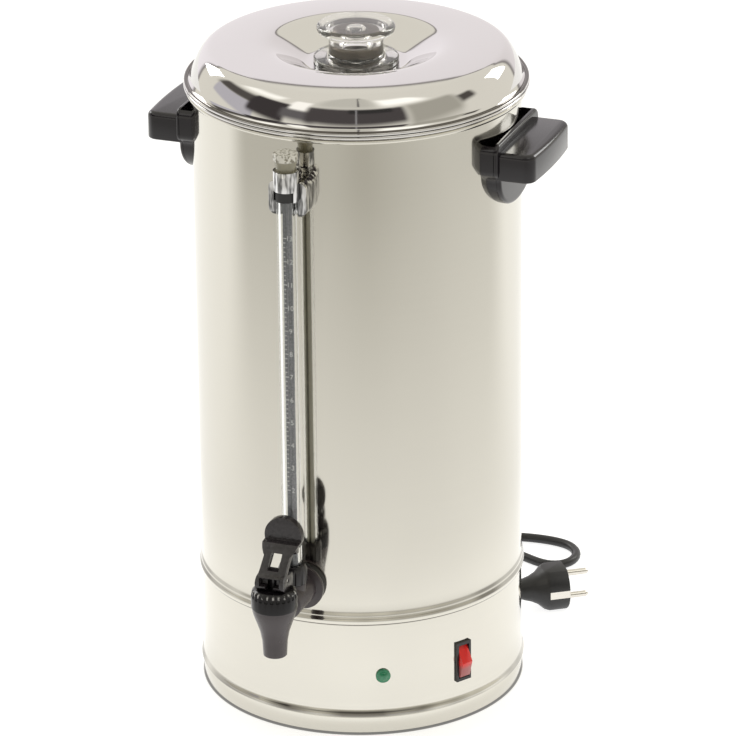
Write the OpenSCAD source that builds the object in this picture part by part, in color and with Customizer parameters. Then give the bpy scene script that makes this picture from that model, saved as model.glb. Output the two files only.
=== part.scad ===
// Coffee urn: a percolator tank with a lift-off lid, a drain tap that
// carries a sight gauge, two side handles, a lit switch and a mains lead.
// Millimetres. The origin is on the table, under the middle of the tank.
// The tap points to -Y, the handles to -X and +X, the lead leaves at +Y.

/* [Tank] */
// Outer radius of the tank and of the base under it
tank_r = 118; // [108:0.5:128]
// Sheet thickness of the tank
tank_wall = 1; // [0.8:0.1:1.2]
// Height of the middle of the tank's rolled rim
rim_z = 458.9; // [440:0.1:480]
// Radius of the rolled rim's bead
rim_bead_r = 2.5; // [2:0.1:3]
// Height of the tank floor inside
floor_z = 100; // [99:0.5:104]
// Radius of the heating well in the floor
well_r = 26; // [24:0.5:30]
// Depth of the heating well
well_d = 14; // [12:0.5:15]
// Height of the seam where the tank meets the base
seam_z = 88; // [84:0.5:90]
// Height of the rounded bead above the seam
seam_bead_h = 10.5; // [8:0.5:12]
// How far the beads stand out
bead_out = 1.5; // [0.8:0.1:2]

/* [Base] */
// Gap between the bottom ring and the table
ring_gap = 1.5; // [1:0.1:3]
// Height of the plain bottom ring
ring_h = 12.5; // [11:0.5:15]
// How far the ring stands out past the base
ring_out = 0.3; // [0:0.1:1]
// Sheet thickness of the base skirt
skirt_wall = 1; // [0.8:0.1:1.5]
// Height of the lower rounded bead
low_bead_h = 10.5; // [8:0.5:14]
// Thickness of the bottom plate
plate_t = 1; // [0.8:0.1:1.5]
// Width of the ring's inner lip that carries the plate
lip_w = 13; // [11:0.5:16]
// Width of the rubber foot ring
foot_w = 9; // [6:0.5:14]
// Distance of the foot ring from the base wall
foot_in = 11.5; // [10.5:0.5:16]
// Radius of the bottom screws' shanks
base_screw_r = 1.5; // [1.2:0.1:1.8]

/* [Lid] */
// Radius of the lid's outer bead
lid_bead_r = 1.6; // [1.2:0.1:1.8]
// How far the lid's foot stands out past the tank
lid_over = 1.8; // [0.5:0.1:3]
// Height from the foot of the side to the crown
lid_h = 27.2; // [26:0.1:30]
// Radius of the crown's highest line
crown_r = 75; // [70:0.5:82]
// Sheet thickness of the lid
lid_wall = 0.8; // [0.6:0.1:1]
// Radius at the edge of the sunken middle
dish_r = 61; // [56:0.5:64]
// Radius of the flat floor of the sunken middle
dish_floor_r = 34; // [32:0.5:38]
// Depth of the sunken middle below the crown
dish_d = 14; // [12:0.1:15]
// Depth of the collar that drops into the tank
collar_d = 15; // [10:0.5:20]
// Gap between that collar and the tank wall
collar_gap = 0.7; // [0.4:0.1:1]
// Radius of a steam hole
steam_r = 1.6; // [1:0.1:2.5]
// Distance of the steam holes from the middle
steam_at = 71; // [67:0.5:74]

/* [Knob] */
// Radius of the knob's top disc
knob_r = 28; // [25:0.5:31]
// Thickness of the top disc
knob_top_t = 3.8; // [3:0.1:5]
// Radius of the knob's foot
knob_foot_r = 30.5; // [28:0.5:31.5]
// Thickness of the foot
knob_foot_t = 4.5; // [3:0.1:6]
// Radius of the neck
knob_neck_r = 19.5; // [16:0.5:22]
// Full height of the knob over the lid
knob_h = 28; // [24:0.5:32]
// Radius of the threaded spigot under the knob
spigot_r = 11; // [9:0.5:13]

/* [Handles] */
// Height of the top of the grip
grip_z = 434.5; // [420:0.5:436]
// Height of the grip's side wall
grip_h = 20.5; // [17:0.5:23]
// Half of the grip's length along Y
grip_half = 42; // [38:0.5:46]
// How far the grip reaches out from the tank
grip_out = 30.5; // [28:0.1:36]
// How far the grip's outer side bows out
grip_bow = 1.5; // [0.5:0.1:4]
// Radius of the grip's corners seen from above
grip_corner = 8; // [6:0.5:12]
// Thickness of the grip's walls
grip_wall = 4; // [3:0.5:5]
// Rounding of the grip's upper edge
grip_round = 4; // [3:0.5:5]
// Front face of the back plate, measured from the tank
plate_out = 4; // [3.5:0.1:5]
// Thickness of the back plate where it stands free of the tank
plate_wall = 3.2; // [2:0.1:3.4]
// Half of the back plate's width
plate_half = 45.5; // [43:0.5:50]
// How far the back plate rises above the grip
plate_rise = 6; // [4:0.5:9]
// Half of the width of the plate's rounded lower part
lobe_half = 39; // [34:0.5:42]
// Lowest point of the plate, measured from the grip's top
lobe_drop = 49; // [44:0.5:54]
// How far below the grip's top the screws sit
screw_drop = 10; // [9:0.5:11]
// Half of the distance between the two screws
screw_half = 24; // [20:0.5:28]
// Radius of a handle screw's shank
screw_r = 2.5; // [2:0.1:3]

/* [Tap] */
// Height of the tap's middle
tap_z = 117.5; // [117:0.5:121]
// Distance of the spout from the tank wall
spout_out = 58; // [54:0.5:66]
// Outer radius of the pipe from the tank
pipe_r = 11.5; // [10.5:0.5:13]
// Bore radius of the pipe and of the spout
bore_r = 6; // [5:0.5:6.5]
// Radius of the threaded shank through the wall
shank_r = 10; // [9:0.1:10.2]
// Height of the spout's mouth over the table
spout_z = 88; // [82:0.5:90]
// Outer radius at the spout's mouth
spout_r = 8.5; // [8:0.1:9.5]
// Radius of the valve chamber
chamber_r = 9; // [8.5:0.1:10]
// Radius of the knurled bonnet
bonnet_r = 16.5; // [15.5:0.1:18]
// Height of the bonnet
bonnet_h = 15; // [13:0.5:18]
// Radius of the valve stem
stem_r = 3; // [2.5:0.1:3.2]
// Running gap round the stem
stem_gap = 0.05; // [0.02:0.01:0.1]
// How far the stem lifts
stem_lift = 5; // [4:0.1:5]
// Height of the lever's pin over the bonnet
pin_up = 6.5; // [6:0.1:8]
// Radius of the lever's pin
pin_r = 1.5; // [1.2:0.1:1.8]
// Width of the lever's foot
lever_w = 21.6; // [19:0.1:24]
// Radius of the lever's thumb disc
paddle_r = 14; // [12:0.5:16]
// Thickness of the thumb disc
paddle_t = 6; // [5:0.5:7]
// How far the disc leans back from the pin
paddle_back = 21.5; // [18:0.5:24]
// Height of the disc's middle over the pin
paddle_up = 25; // [23:0.5:28]

/* [Sight gauge] */
// Distance of the glass from the tank wall
glass_out = 22; // [20:0.5:25]
// Outer radius of the glass
glass_r = 7; // [6:0.1:7.4]
// Bore radius of the glass
glass_bore_r = 4.5; // [4:0.1:5]
// Height of the top of the glass
glass_top_z = 430; // [424:0.5:432]
// Radius of the union nut
union_r = 10.5; // [10:0.1:11.5]
// Height of the top of the union nut
union_top_z = 143.5; // [142:0.5:148]
// Radius of the upper collar
collar_r = 9; // [8.8:0.1:10]
// Height of the top of the collar
collar_top_z = 442.5; // [440:0.5:444]
// Height of the collar
collar_h = 22; // [18:0.5:24]
// Radius of the faceted cap
cap_r = 8.7; // [8:0.1:9.5]
// Height of the faceted cap
cap_h = 5; // [4:0.5:8]
// Height of the middle of the bracket's block
bracket_z = 420.5; // [416:0.5:424]
// Width of the bracket's block
bracket_w = 28; // [24:0.5:32]
// Height of the bracket's block
bracket_h = 24.5; // [21:0.5:28]
// Width of the scale strip
scale_w = 7.5; // [6:0.1:7.6]

/* [Percolator] */
// Radius of the pump tube
tube_r = 4.5; // [4:0.1:5]
// Height of the seat that carries the basket
basket_z = 350; // [320:1:360]
// Radius of the basket
basket_r = 78; // [70:1:90]
// Height of the basket
basket_h = 70; // [55:1:75]
// Sheet thickness of the basket
basket_wall = 0.8; // [0.6:0.1:1]
// Radius of a hole in the basket
hole_r = 1.5; // [1:0.1:1.8]

/* [Switch and lamp] */
// Height of the switch and lamp
panel_z = 47; // [44:0.5:62]
// Turn of the switch round the base, from the tap
switch_az = 58.5; // [50:0.5:66]
// Turn of the lamp round the base, from the tap
lamp_az = 27.7; // [22:0.1:34]
// Width of the switch bezel
bezel_w = 13; // [12.8:0.1:16]
// Height of the switch bezel
bezel_h = 30.7; // [30:0.1:34]
// How far the bezel stands out
bezel_out = 1.8; // [1.5:0.1:3]
// Width of the rocker
rocker_w = 9; // [8:0.1:9.2]
// Half of the rocker's height
rocker_half = 12; // [11:0.1:12.2]
// Tilt of the rocker to each side
rocker_tilt = 9; // [7:0.5:10]
// Radius of the lamp's lens
lens_r = 5.4; // [4.8:0.1:7]

/* [Mains lead] */
// Diameter of the lead
lead_d = 7; // [7:0.1:7]
// Height of the lead's outlet
gland_z = 47; // [47:0.5:47]
// Radius of the gland's nut
gland_r = 10; // [9.5:0.5:11]
// Length of the gland's rubber boot
boot_l = 23; // [23:0.5:23]
// Distance between the two pins
pin_pitch = 19; // [19:0.1:19]
// Radius of a pin
plug_pin_r = 2.4; // [2.4:0.1:2.4]
// Length of a pin
plug_pin_l = 19; // [15:0.5:19]
// Radius of the plug across its earth clips
plug_r = 18.5; // [18.2:0.1:19]
// Distance between the plug's two flats
plug_flats = 32; // [32:0.5:32]

/* [Hidden] */
$fn = 96;

steel = [0.80, 0.79, 0.75];
bright = [0.86, 0.86, 0.88];
black = [0.07, 0.06, 0.07];
rubber = [0.12, 0.12, 0.12];
grey = [0.55, 0.55, 0.55];
clear = [0.85, 0.90, 0.92, 0.45];

// face-to-face seats between round pieces of one body
seat = 0.05;
// clearance between pieces that lift apart
free = 0.3;

// ---- shared curves ------------------------------------------------------

// point at t on a curve with four control points
function bez(p, t) =
  let (u = 1 - t)
  u * u * u * p[0] + 3 * u * u * t * p[1] + 3 * u * t * t * p[2] + t * t * t * p[3];

// unit vector to the left of the way from a to b
function left_of(a, b) = let (d = b - a) [-d[1], d[0]] / norm(d);

// the same line moved to its left by w
function beside(pts, w) = [
  for (i = [0 : len(pts) - 1])
    pts[i] + w * left_of(pts[max(i - 1, 0)], pts[min(i + 1, len(pts) - 1)])
];

function backward(pts) = [for (i = [len(pts) - 1 : -1 : 0]) pts[i]];

// half wave that stands out by h over a height of w, starting at z
function bulge(r, z, w, h, n = 12) = [
  for (i = [0 : n]) [r + h * sin(180 * i / n), z + w * i / n]
];

// a ring with a round or square section, made by a full turn
module turned(pts) {
  rotate_extrude() polygon(pts);
}

// a tube of outer radius ro and bore radius ri
module tube(ro, ri, h) {
  difference() {
    cylinder(h = h, r = ro);
    translate([0, 0, -1]) cylinder(h = h + 2, r = ri);
  }
}

// a bar with rounded corners in X and Z, from y0 to y1
module rounded_plate(w, h, t, r) {
  linear_extrude(t)
    hull() {
      for (x = [-w / 2 + r, w / 2 - r])
        for (y = [-h / 2 + r, h / 2 - r])
          translate([x, y]) circle(r = r, $fn = 32);
    }
}

// puts children on the base wall, their +Z facing out, their +Y up
module on_wall(az, z, r = tank_r) {
  rotate([0, 0, az]) translate([0, -r, z]) rotate([90, 0, 0]) children();
}

// puts children on a line along the tap, their +Z pointing to the spout
module along_tap(r) {
  translate([0, -r, tap_z]) rotate([90, 0, 0]) children();
}

// ---- tank ---------------------------------------------------------------

rim_r = tank_r - tank_wall / 2 + rim_bead_r;
tank_in = tank_r - tank_wall;

module tank_shell() {
  color(steel)
    difference() {
      rotate_extrude() {
        polygon(concat(
          bulge(tank_r, seam_z, seam_bead_h, bead_out),
          [[tank_r, rim_z], [tank_in, rim_z], [tank_in, floor_z + 3],
           [tank_in - 0.9, floor_z + 0.9], [tank_in - 3, floor_z],
           [well_r + 2, floor_z], [well_r, floor_z - 2],
           [well_r, floor_z - well_d + 2], [well_r - 2, floor_z - well_d],
           [0, floor_z - well_d], [0, floor_z - well_d - tank_wall],
           [well_r - 1.6, floor_z - well_d - tank_wall],
           [well_r + tank_wall, floor_z - well_d + 1.6],
           [well_r + tank_wall, floor_z - tank_wall - 1],
           [well_r + tank_wall + 1, floor_z - tank_wall],
           [tank_in - 1, floor_z - tank_wall], [tank_in, floor_z - tank_wall - 1],
           [tank_in, seam_z]]));
        translate([rim_r, rim_z]) circle(r = rim_bead_r, $fn = 32);
      }
      // way out to the tap
      along_tap(tank_in - 10) cylinder(h = 20, r = shank_r + 0.2);
      // handle screws
      for (a = [0, 180])
        rotate([0, 0, a])
          for (y = [-screw_half, screw_half])
            translate([tank_r - 20, y, grip_z - screw_drop]) rotate([0, 90, 0])
              cylinder(h = 30, r = screw_r + 0.2, $fn = 32);
      // gauge bracket screw
      translate([0, -tank_r + 6, bracket_screw_z]) rotate([90, 0, 0])
        cylinder(h = 12, r = 2.2, $fn = 32);
    }
}

// ---- base ---------------------------------------------------------------

ring_top = ring_gap + ring_h;
plate_z = ring_gap + 2.5;
lip_t = 1.5;
skirt_in = tank_r - skirt_wall;
lip_r = skirt_in - lip_w;

module base_skirt() {
  color(steel)
    difference() {
      turned(concat(
        bulge(tank_r, ring_top, low_bead_h, bead_out),
        [[tank_r, seam_z], [skirt_in, seam_z]],
        backward(bulge(skirt_in, ring_top, low_bead_h, bead_out - 0.2))));
      // switch cut-out
      on_wall(switch_az, panel_z)
        translate([-housing_w / 2 - 0.1, -housing_h / 2 - 0.1, -8])
          cube([housing_w + 0.2, housing_h + 0.2, 16]);
      // lamp hole
      on_wall(lamp_az, panel_z) translate([0, 0, -6]) cylinder(h = 12, r = lamp_r + 0.1);
      // lead outlet
      on_wall(180, gland_z) translate([0, 0, -6]) cylinder(h = 12, r = gland_shank + 0.1);
    }
}

module bottom_ring() {
  color(steel)
    difference() {
      turned([
        [tank_r + ring_out - 0.6, ring_gap], [tank_r + ring_out, ring_gap + 0.6],
        [tank_r + ring_out, ring_top - 0.4], [tank_r + ring_out - 0.4, ring_top],
        [skirt_in - 0.6, ring_top], [skirt_in - 0.6, plate_z + plate_t + lip_t],
        [lip_r, plate_z + plate_t + lip_t], [lip_r, plate_z + plate_t],
        [skirt_in - 0.6, plate_z + plate_t], [skirt_in - 0.6, ring_gap]]);
      for (a = [0 : 90 : 270])
        rotate([0, 0, a]) translate([base_screw_at, 0, plate_z])
          cylinder(h = 10, r = base_screw_r + seat, $fn = 32);
    }
}

base_screw_at = skirt_in - 6;

slot_in = 64;
slot_pitch = 8;
slot_w = 3;
slot_l = 18;

module bottom_plate() {
  color(grey)
    difference() {
      translate([0, 0, plate_z]) cylinder(h = plate_t, r = skirt_in - 1);
      for (a = [0 : 90 : 270])
        rotate([0, 0, a]) translate([base_screw_at, 0, 0])
          cylinder(h = 20, r = base_screw_r + 0.1, $fn = 32);
      // air slots
      for (a = [0 : 45 : 315])
        rotate([0, 0, a + 22.5])
          for (k = [0 : 2])
            translate([tank_r - slot_in - slot_pitch * k, -slot_l / 2, plate_z - 1])
              cube([slot_w, slot_l, plate_t + 2]);
    }
}

module bottom_screws() {
  color(grey)
    for (a = [0 : 90 : 270])
      rotate([0, 0, a]) translate([base_screw_at, 0, 0]) {
        translate([0, 0, plate_z - 1.8]) cylinder(h = 1.8, r = base_screw_r * 2, $fn = 32);
        translate([0, 0, plate_z - 0.5])
          cylinder(h = plate_t + lip_t + 4.5, r = base_screw_r, $fn = 32);
      }
}

module foot_ring() {
  color(rubber)
    turned([
      [skirt_in - foot_in - foot_w + 0.8, 0], [skirt_in - foot_in - 0.8, 0],
      [skirt_in - foot_in, 0.8], [skirt_in - foot_in, plate_z],
      [skirt_in - foot_in - foot_w, plate_z], [skirt_in - foot_in - foot_w, 0.8]]);
}

// ---- lid ----------------------------------------------------------------

lid_r = tank_r + lid_over;
// the lid's lower bead rides on the tank's rim, the upper bead on the lower
low_bead_at = rim_r + 2.3;
bead_reach = rim_bead_r + lid_bead_r + free;
low_bead_z = rim_z + sqrt(bead_reach * bead_reach - 2.3 * 2.3);
lid_z = low_bead_z + 0.2;
lid_top = lid_z + lid_h;
dish_z = lid_top - dish_d;

lid_side = [
  for (i = [0 : 9])
    bez([[lid_r, lid_z], [lid_r - 3.3, lid_z + 12], [lid_r - 7.8, lid_top - 3.2],
         [lid_r - 15.8, lid_top - 1.9]], i / 9)
];
lid_crown = [
  for (i = [1 : 8])
    bez([[lid_r - 15.8, lid_top - 1.9], [lid_r - 24, lid_top - 0.7],
         [crown_r + 9, lid_top], [crown_r, lid_top]], i / 8)
];
lid_dish = [
  for (i = [1 : 7])
    bez([[crown_r, lid_top], [dish_r + 6, lid_top], [dish_r + 2, lid_top - 0.6],
         [dish_r - 3, lid_top - 3.1]], i / 7)
];
lid_bowl = [
  for (i = [1 : 5])
    bez([[dish_r - 3, lid_top - 3.1], [dish_floor_r + 7, dish_z + 2.9],
         [dish_floor_r + 5, dish_z], [dish_floor_r, dish_z]], i / 5)
];
lid_line = concat(lid_side, lid_crown, lid_dish, lid_bowl, [[spigot_r + 0.2, dish_z]]);

// the sheet's inner side, and the highest line where the middle begins
lid_under = beside(lid_line, lid_wall);
lid_break = len(lid_side) + len(lid_crown) - 1;

// the sheet's outline between two of its points
function lid_sheet(from, to) = concat(
  [for (i = [from : to]) lid_line[i]], [for (i = [to : -1 : from]) lid_under[i]]);

module steam_holes() {
  for (a = [-122.3, 67.6])
    rotate([0, 0, a]) translate([steam_at, 0, lid_top - 6])
      cylinder(h = 12, r = steam_r, $fn = 32);
}

module lid_shell() {
  color(bright)
    difference() {
      rotate_extrude() {
        polygon(lid_sheet(0, lid_break));
        // flange over the rim, and the collar inside the tank
        polygon([
          [tank_in - collar_gap - lid_wall, lid_z - collar_d],
          [tank_in - collar_gap, lid_z - collar_d],
          [tank_in - collar_gap, lid_z - 0.2], [low_bead_at, lid_z - 0.2],
          [low_bead_at, lid_z + 0.6],
          [tank_in - collar_gap - lid_wall, lid_z + 0.6]]);
        translate([low_bead_at, low_bead_z]) circle(r = lid_bead_r, $fn = 32);
        translate([low_bead_at - 0.4, low_bead_z + 2 * lid_bead_r])
          circle(r = lid_bead_r + 0.05, $fn = 32);
        polygon([
          [lid_r - 1.2, lid_z], [low_bead_at, lid_z],
          [low_bead_at, low_bead_z + 2 * lid_bead_r],
          [lid_r - 1.4, low_bead_z + 2 * lid_bead_r]]);
      }
      steam_holes();
    }
}

// the dished middle of the same sheet
module lid_middle() {
  color(bright)
    difference() {
      rotate_extrude() polygon(lid_sheet(lid_break, len(lid_line) - 1));
      steam_holes();
    }
}

knob_bore = spigot_r - 3;
nut_t = 5;

module lid_knob() {
  color(clear)
    turned([
      [knob_bore, dish_z - lid_wall - nut_t - 1], [spigot_r, dish_z - lid_wall - nut_t - 1],
      [spigot_r, dish_z], [knob_foot_r - 0.8, dish_z], [knob_foot_r, dish_z + 0.8],
      [knob_foot_r, dish_z + knob_foot_t - 1], [knob_foot_r - 1, dish_z + knob_foot_t],
      [knob_neck_r + 1.5, dish_z + knob_foot_t], [knob_neck_r, dish_z + knob_foot_t + 1.5],
      [knob_neck_r, dish_z + knob_h - knob_top_t - 1.5],
      [knob_neck_r + 1.5, dish_z + knob_h - knob_top_t],
      [knob_r - 1, dish_z + knob_h - knob_top_t], [knob_r, dish_z + knob_h - knob_top_t + 1],
      [knob_r, dish_z + knob_h - 1.4], [knob_r - 1.4, dish_z + knob_h],
      [0, dish_z + knob_h], [0, dish_z + knob_h - knob_top_t - 3],
      [knob_bore - 2, dish_z + knob_h - knob_top_t - 5], [knob_bore, dish_z + knob_foot_t]]);
}

module knob_nut() {
  color(bright)
    translate([0, 0, dish_z - lid_wall - nut_t])
      difference() {
        cylinder(h = nut_t, r = spigot_r + 6, $fn = 8);
        translate([0, 0, -1]) cylinder(h = nut_t + 2, r = spigot_r + seat);
      }
}

// ---- handles ------------------------------------------------------------

plate_x = tank_r + plate_out;
lobe_z = grip_z - screw_drop;
grip_from = tank_r - 18;
plate_corner = 7;
insert_boss_r = 6;
tall = 4 * grip_h + lobe_drop;

// outline of the grip seen from above, d inside its outer line
function grip_line(d) =
  let (
    r = max(grip_corner - d, 1), h = grip_half - d, x = tank_r + grip_out - grip_bow - d,
    half = concat(
      [[grip_from, -h]],
      [for (i = [0 : 8]) [x - r + r * sin(11.25 * i), -h + r - r * cos(11.25 * i)]],
      [for (i = [1 : 3]) let (y = (h - r) * (1 - i / 4)) [
        x + grip_bow * (1 - pow(y / (h - r), 2)), -y]]))
  concat(half, [[x + grip_bow, 0]], backward([for (p = half) [p[0], -p[1]]]));

// the grip's layers: how far in and how high, round over the top edge
grip_layers = concat(
  [[1, 0], [0, 1]],
  [for (i = [0 : 5])
    [grip_round * (1 - cos(18 * i)), grip_h - grip_round * (1 - sin(18 * i))]]);

module grip_block() {
  n = len(grip_line(0));
  m = len(grip_layers);
  pts = [
    for (l = grip_layers)
      for (p = grip_line(l[0])) [p[0], p[1], grip_z - grip_h + l[1]]
  ];
  faces = concat(
    [[for (i = [0 : n - 1]) i]],
    [for (j = [0 : m - 2]) for (i = [0 : n - 1])
      let (k = (i + 1) % n) [j * n + i, (j + 1) * n + i, (j + 1) * n + k, j * n + k]],
    [[for (i = [n - 1 : -1 : 0]) (m - 1) * n + i]]);
  polyhedron(pts, faces);
}

// outline of the back plate in Y and Z: a wide bar over a rounded lobe
plate_line =
  let (
    top = grip_z + plate_rise, low = grip_z - grip_h, bottom = grip_z - lobe_drop,
    half = concat(
      [for (i = [0 : 6]) [
        plate_half - plate_corner * (1 - sin(15 * i)), top - plate_corner * (1 - cos(15 * i))]],
      [[plate_half, low + 7], [plate_half - 1.5, low + 3.5], [lobe_half + 1, low]],
      [for (i = [0 : 15]) [
        lobe_half * cos(6 * i), low - 2 - (low - 2 - bottom) * sin(6 * i)]]))
  concat(half, backward([for (p = half) [-p[0], p[1]]]));

module handle() {
  difference() {
    union() {
      // back plate, flat in front and shaped to the tank behind, open above
      difference() {
        translate([tank_r - 14, 0, 0]) rotate([90, 0, 90])
          linear_extrude(plate_out + 14) polygon(plate_line);
        translate([tank_r - 20, -plate_half + plate_wall, grip_z - grip_h + grip_wall])
          cube([plate_x - plate_wall - tank_r + 20, 2 * (plate_half - plate_wall), tall]);
      }
      difference() {
        grip_block();
        translate([tank_r - 20, -100, grip_z - grip_h - 1])
          cube([plate_x - 0.5 - tank_r + 20, 200, tall]);
        // hollow under the grip, open below, for the fingers
        translate([0, 0, grip_z - grip_h - 1])
          linear_extrude(grip_h - grip_wall + 1)
            difference() {
              polygon(grip_line(grip_wall));
              translate([0, -100]) square([plate_x - 0.5, 200]);
            }
      }
      // screw bosses from the tank through the plate into the hollow
      for (y = [-screw_half, screw_half])
        translate([tank_r - 10, y, lobe_z]) rotate([0, 90, 0])
          cylinder(h = plate_out + 22, r = insert_boss_r);
    }
    translate([0, 0, lobe_z - tall]) cylinder(h = 2 * tall, r = tank_r + seat, $fn = 192);
    translate([0, 0, lobe_z - tall / 2]) cube([2 * (tank_r - 15), 200, 2 * tall], center = true);
    for (y = [-screw_half, screw_half])
      translate([tank_r - 10, y, lobe_z]) rotate([0, 90, 0])
        cylinder(h = plate_out + 24, r = insert_r + seat / 2);
  }
}

insert_r = 3.5;
insert_l = 13;
head_x = tank_in - 5.5;

module handle_right() {
  color(black) handle();
}

module handle_left() {
  color(black) mirror([1, 0, 0]) handle();
}

module both_sides() {
  for (a = [0, 180])
    rotate([0, 0, a])
      for (y = [-screw_half, screw_half])
        translate([0, y, lobe_z]) rotate([0, 90, 0]) children();
}

module handle_inserts() {
  color("goldenrod")
    both_sides()
      translate([0, 0, tank_r - 1]) tube(insert_r, screw_r + seat, insert_l);
}

module handle_screws() {
  color(bright)
    both_sides() {
      translate([0, 0, head_x - 3.2]) cylinder(h = 3.2, r = screw_r * 1.9, $fn = 48);
      translate([0, 0, head_x - 1]) cylinder(h = tank_r - head_x + insert_l - 1, r = screw_r);
    }
}

module handle_seals() {
  color(rubber)
    for (a = [0, 180])
      rotate([0, 0, a])
        for (y = [-screw_half, screw_half])
          intersection() {
            translate([head_x, y, lobe_z]) rotate([0, 90, 0]) tube(6, screw_r + 0.2, 12);
            translate([0, 0, lobe_z - tall])
              cylinder(h = 2 * tall, r = tank_in - seat, $fn = 192);
          }
}

// ---- tap ----------------------------------------------------------------

spout_at = tank_r + spout_out;
flange_r = 16.5;
flange_t = 3;
seal_t = 3;
body_top = tap_z + 8;
neck_r = bonnet_r - 4;
neck_top = body_top + bonnet_h - 5;
bonnet_top = body_top + bonnet_h;
seat_z = tap_z - 9.5;
nut_in = 4.5;
tap_nut_t = 6;
pipe_neck_r = bore_r + 1.8;
boss_r = glass_r + 1.5;
boss_top = union_top_z - 11.5;
glass_at = tank_r + glass_out;

module tap_body() {
  color(black)
    difference() {
      union() {
        translate([0, -spout_at, 0])
          turned([
            [0, spout_z], [spout_r - 0.5, spout_z], [spout_r, spout_z + 0.5],
            [spout_r + 0.6, tap_z - 18], [spout_r + 2, tap_z - 10.5],
            [bonnet_r - 3.6, tap_z - 3.5], [bonnet_r - 2, tap_z + 1],
            [bonnet_r - 0.8, tap_z + 5], [bonnet_r - 0.5, body_top - 0.6],
            [bonnet_r - 1.1, body_top], [neck_r, body_top], [neck_r, neck_top],
            [0, neck_top]]);
        along_tap(tank_r + seal_t)
          cylinder(h = spout_out - seal_t - bonnet_r - 5, r = pipe_r);
        // the pipe narrows to pass under the bonnet
        along_tap(spout_at - bonnet_r - 5.1) cylinder(h = 4, r1 = pipe_r, r2 = pipe_neck_r);
        along_tap(spout_at - bonnet_r - 2) cylinder(h = bonnet_r - 8, r = pipe_neck_r);
        along_tap(tank_r + seal_t) cylinder(h = flange_t, r = flange_r);
        along_tap(tank_in - nut_in - tap_nut_t - 2)
          cylinder(h = nut_in + tap_nut_t + tank_wall + seal_t + 3, r = shank_r);
        translate([0, -glass_at, tap_z]) cylinder(h = boss_top - tap_z, r = boss_r);
        translate([0, -glass_at, tap_z]) cylinder(h = pipe_r, r = union_r - 0.6);
      }
      along_tap(tank_in - 30) cylinder(h = spout_out + 31, r = bore_r);
      translate([0, -spout_at, seat_z]) cylinder(h = 60, r = chamber_r);
      translate([0, -spout_at, spout_z - 1]) cylinder(h = 40, r = bore_r);
      translate([0, -glass_at, tap_z]) cylinder(h = 60, r = glass_bore_r - 1);
    }
}

module tap_outer_seal() {
  color(rubber)
    difference() {
      along_tap(tank_r - 4) tube(flange_r - 0.5, shank_r + seat, seal_t + 4);
      translate([0, 0, tap_z - 40]) cylinder(h = 80, r = tank_r + seat, $fn = 192);
    }
}

module tap_inner_seal() {
  color(rubber)
    intersection() {
      along_tap(tank_in - nut_in) tube(flange_r - 2, shank_r + seat, 20);
      translate([0, 0, tap_z - 40]) cylinder(h = 80, r = tank_in - seat, $fn = 192);
    }
}

module tap_nut() {
  color(black)
    along_tap(tank_in - nut_in - tap_nut_t)
      difference() {
        cylinder(h = tap_nut_t, r = shank_r + 5, $fn = 8);
        translate([0, 0, -1]) cylinder(h = tap_nut_t + 2, r = shank_r + seat);
      }
}

grip_band = 5.5;

module tap_bonnet() {
  color(black)
    translate([0, -spout_at, 0])
      difference() {
        turned([
          [neck_r + seat, body_top + 0.1], [bonnet_r - 0.6, body_top + 0.1],
          [bonnet_r, body_top + 0.7], [bonnet_r, bonnet_top - grip_band],
          [bonnet_r - 0.7, bonnet_top - 2.2], [bonnet_r - 2.6, bonnet_top - 0.4],
          [bonnet_r - 3.6, bonnet_top], [stem_r + stem_gap, bonnet_top],
          [stem_r + stem_gap, neck_top + 0.2], [neck_r + seat, neck_top + 0.2]]);
        for (a = [0 : 15 : 345])
          rotate([0, 0, a]) translate([bonnet_r + 0.2, 0, bonnet_top - grip_band - 0.5])
            cylinder(h = bonnet_h, r = 1.2, $fn = 16);
      }
}

cup_h = 9;
stem_foot = seat_z + 3;

module tap_stem() {
  color(black)
    translate([0, -spout_at, 0])
      difference() {
        union() {
          translate([0, 0, stem_foot])
            cylinder(h = bonnet_top + pin_up + pin_r + 1 - stem_foot, r = stem_r);
          translate([0, 0, stem_foot + 2]) cylinder(h = 2, r = stem_r + 2);
        }
        translate([-10, 0, bonnet_top + pin_up]) rotate([0, 90, 0])
          cylinder(h = 20, r = pin_r + 0.02, $fn = 32);
      }
}

module tap_seat_cup() {
  color(rubber)
    translate([0, -spout_at, 0])
      turned([
        [0, seat_z + seat], [bore_r + 1.5, seat_z + seat], [chamber_r - 0.5, seat_z + 2],
        [chamber_r - 0.5, seat_z + cup_h - 0.5], [chamber_r - 1, seat_z + cup_h],
        [stem_r + 0.02, seat_z + cup_h], [stem_r + 0.02, stem_foot + 4.02],
        [stem_r + 2.02, stem_foot + 4.02], [stem_r + 2.02, stem_foot + 1.98],
        [stem_r + 0.02, stem_foot + 1.98], [stem_r + 0.02, stem_foot - 0.02],
        [0, stem_foot - 0.02]]);
}

// the lever in its own frame: X across, Y forward, Z up, pin at the origin
foot_low = pin_up - 0.3;
module lever_side() {
  polygon([
    [-9.5, 0.5 - foot_low], [-9, -foot_low], [7, -foot_low], [9.5, 2.2 - foot_low],
    [10.2, -1], [9.6, 2.4], [8.2, 4.3], [4.6, 5.3], [-7.5, 16.6], [-13, 21.6],
    [-paddle_back + paddle_t / 2, paddle_up - 3],
    [-paddle_back + paddle_t / 2, paddle_up + paddle_r],
    [-paddle_back - paddle_t / 2, paddle_up + paddle_r],
    [-paddle_back - paddle_t / 2, paddle_up - paddle_r + 0.5],
    [-paddle_back - paddle_t / 2 + 4, paddle_up - paddle_r + 0.5],
    [-16.8, 16.6], [-11.1, 12.8], [-0.6, 3.6], [-9.5, 3]]);
}

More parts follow.
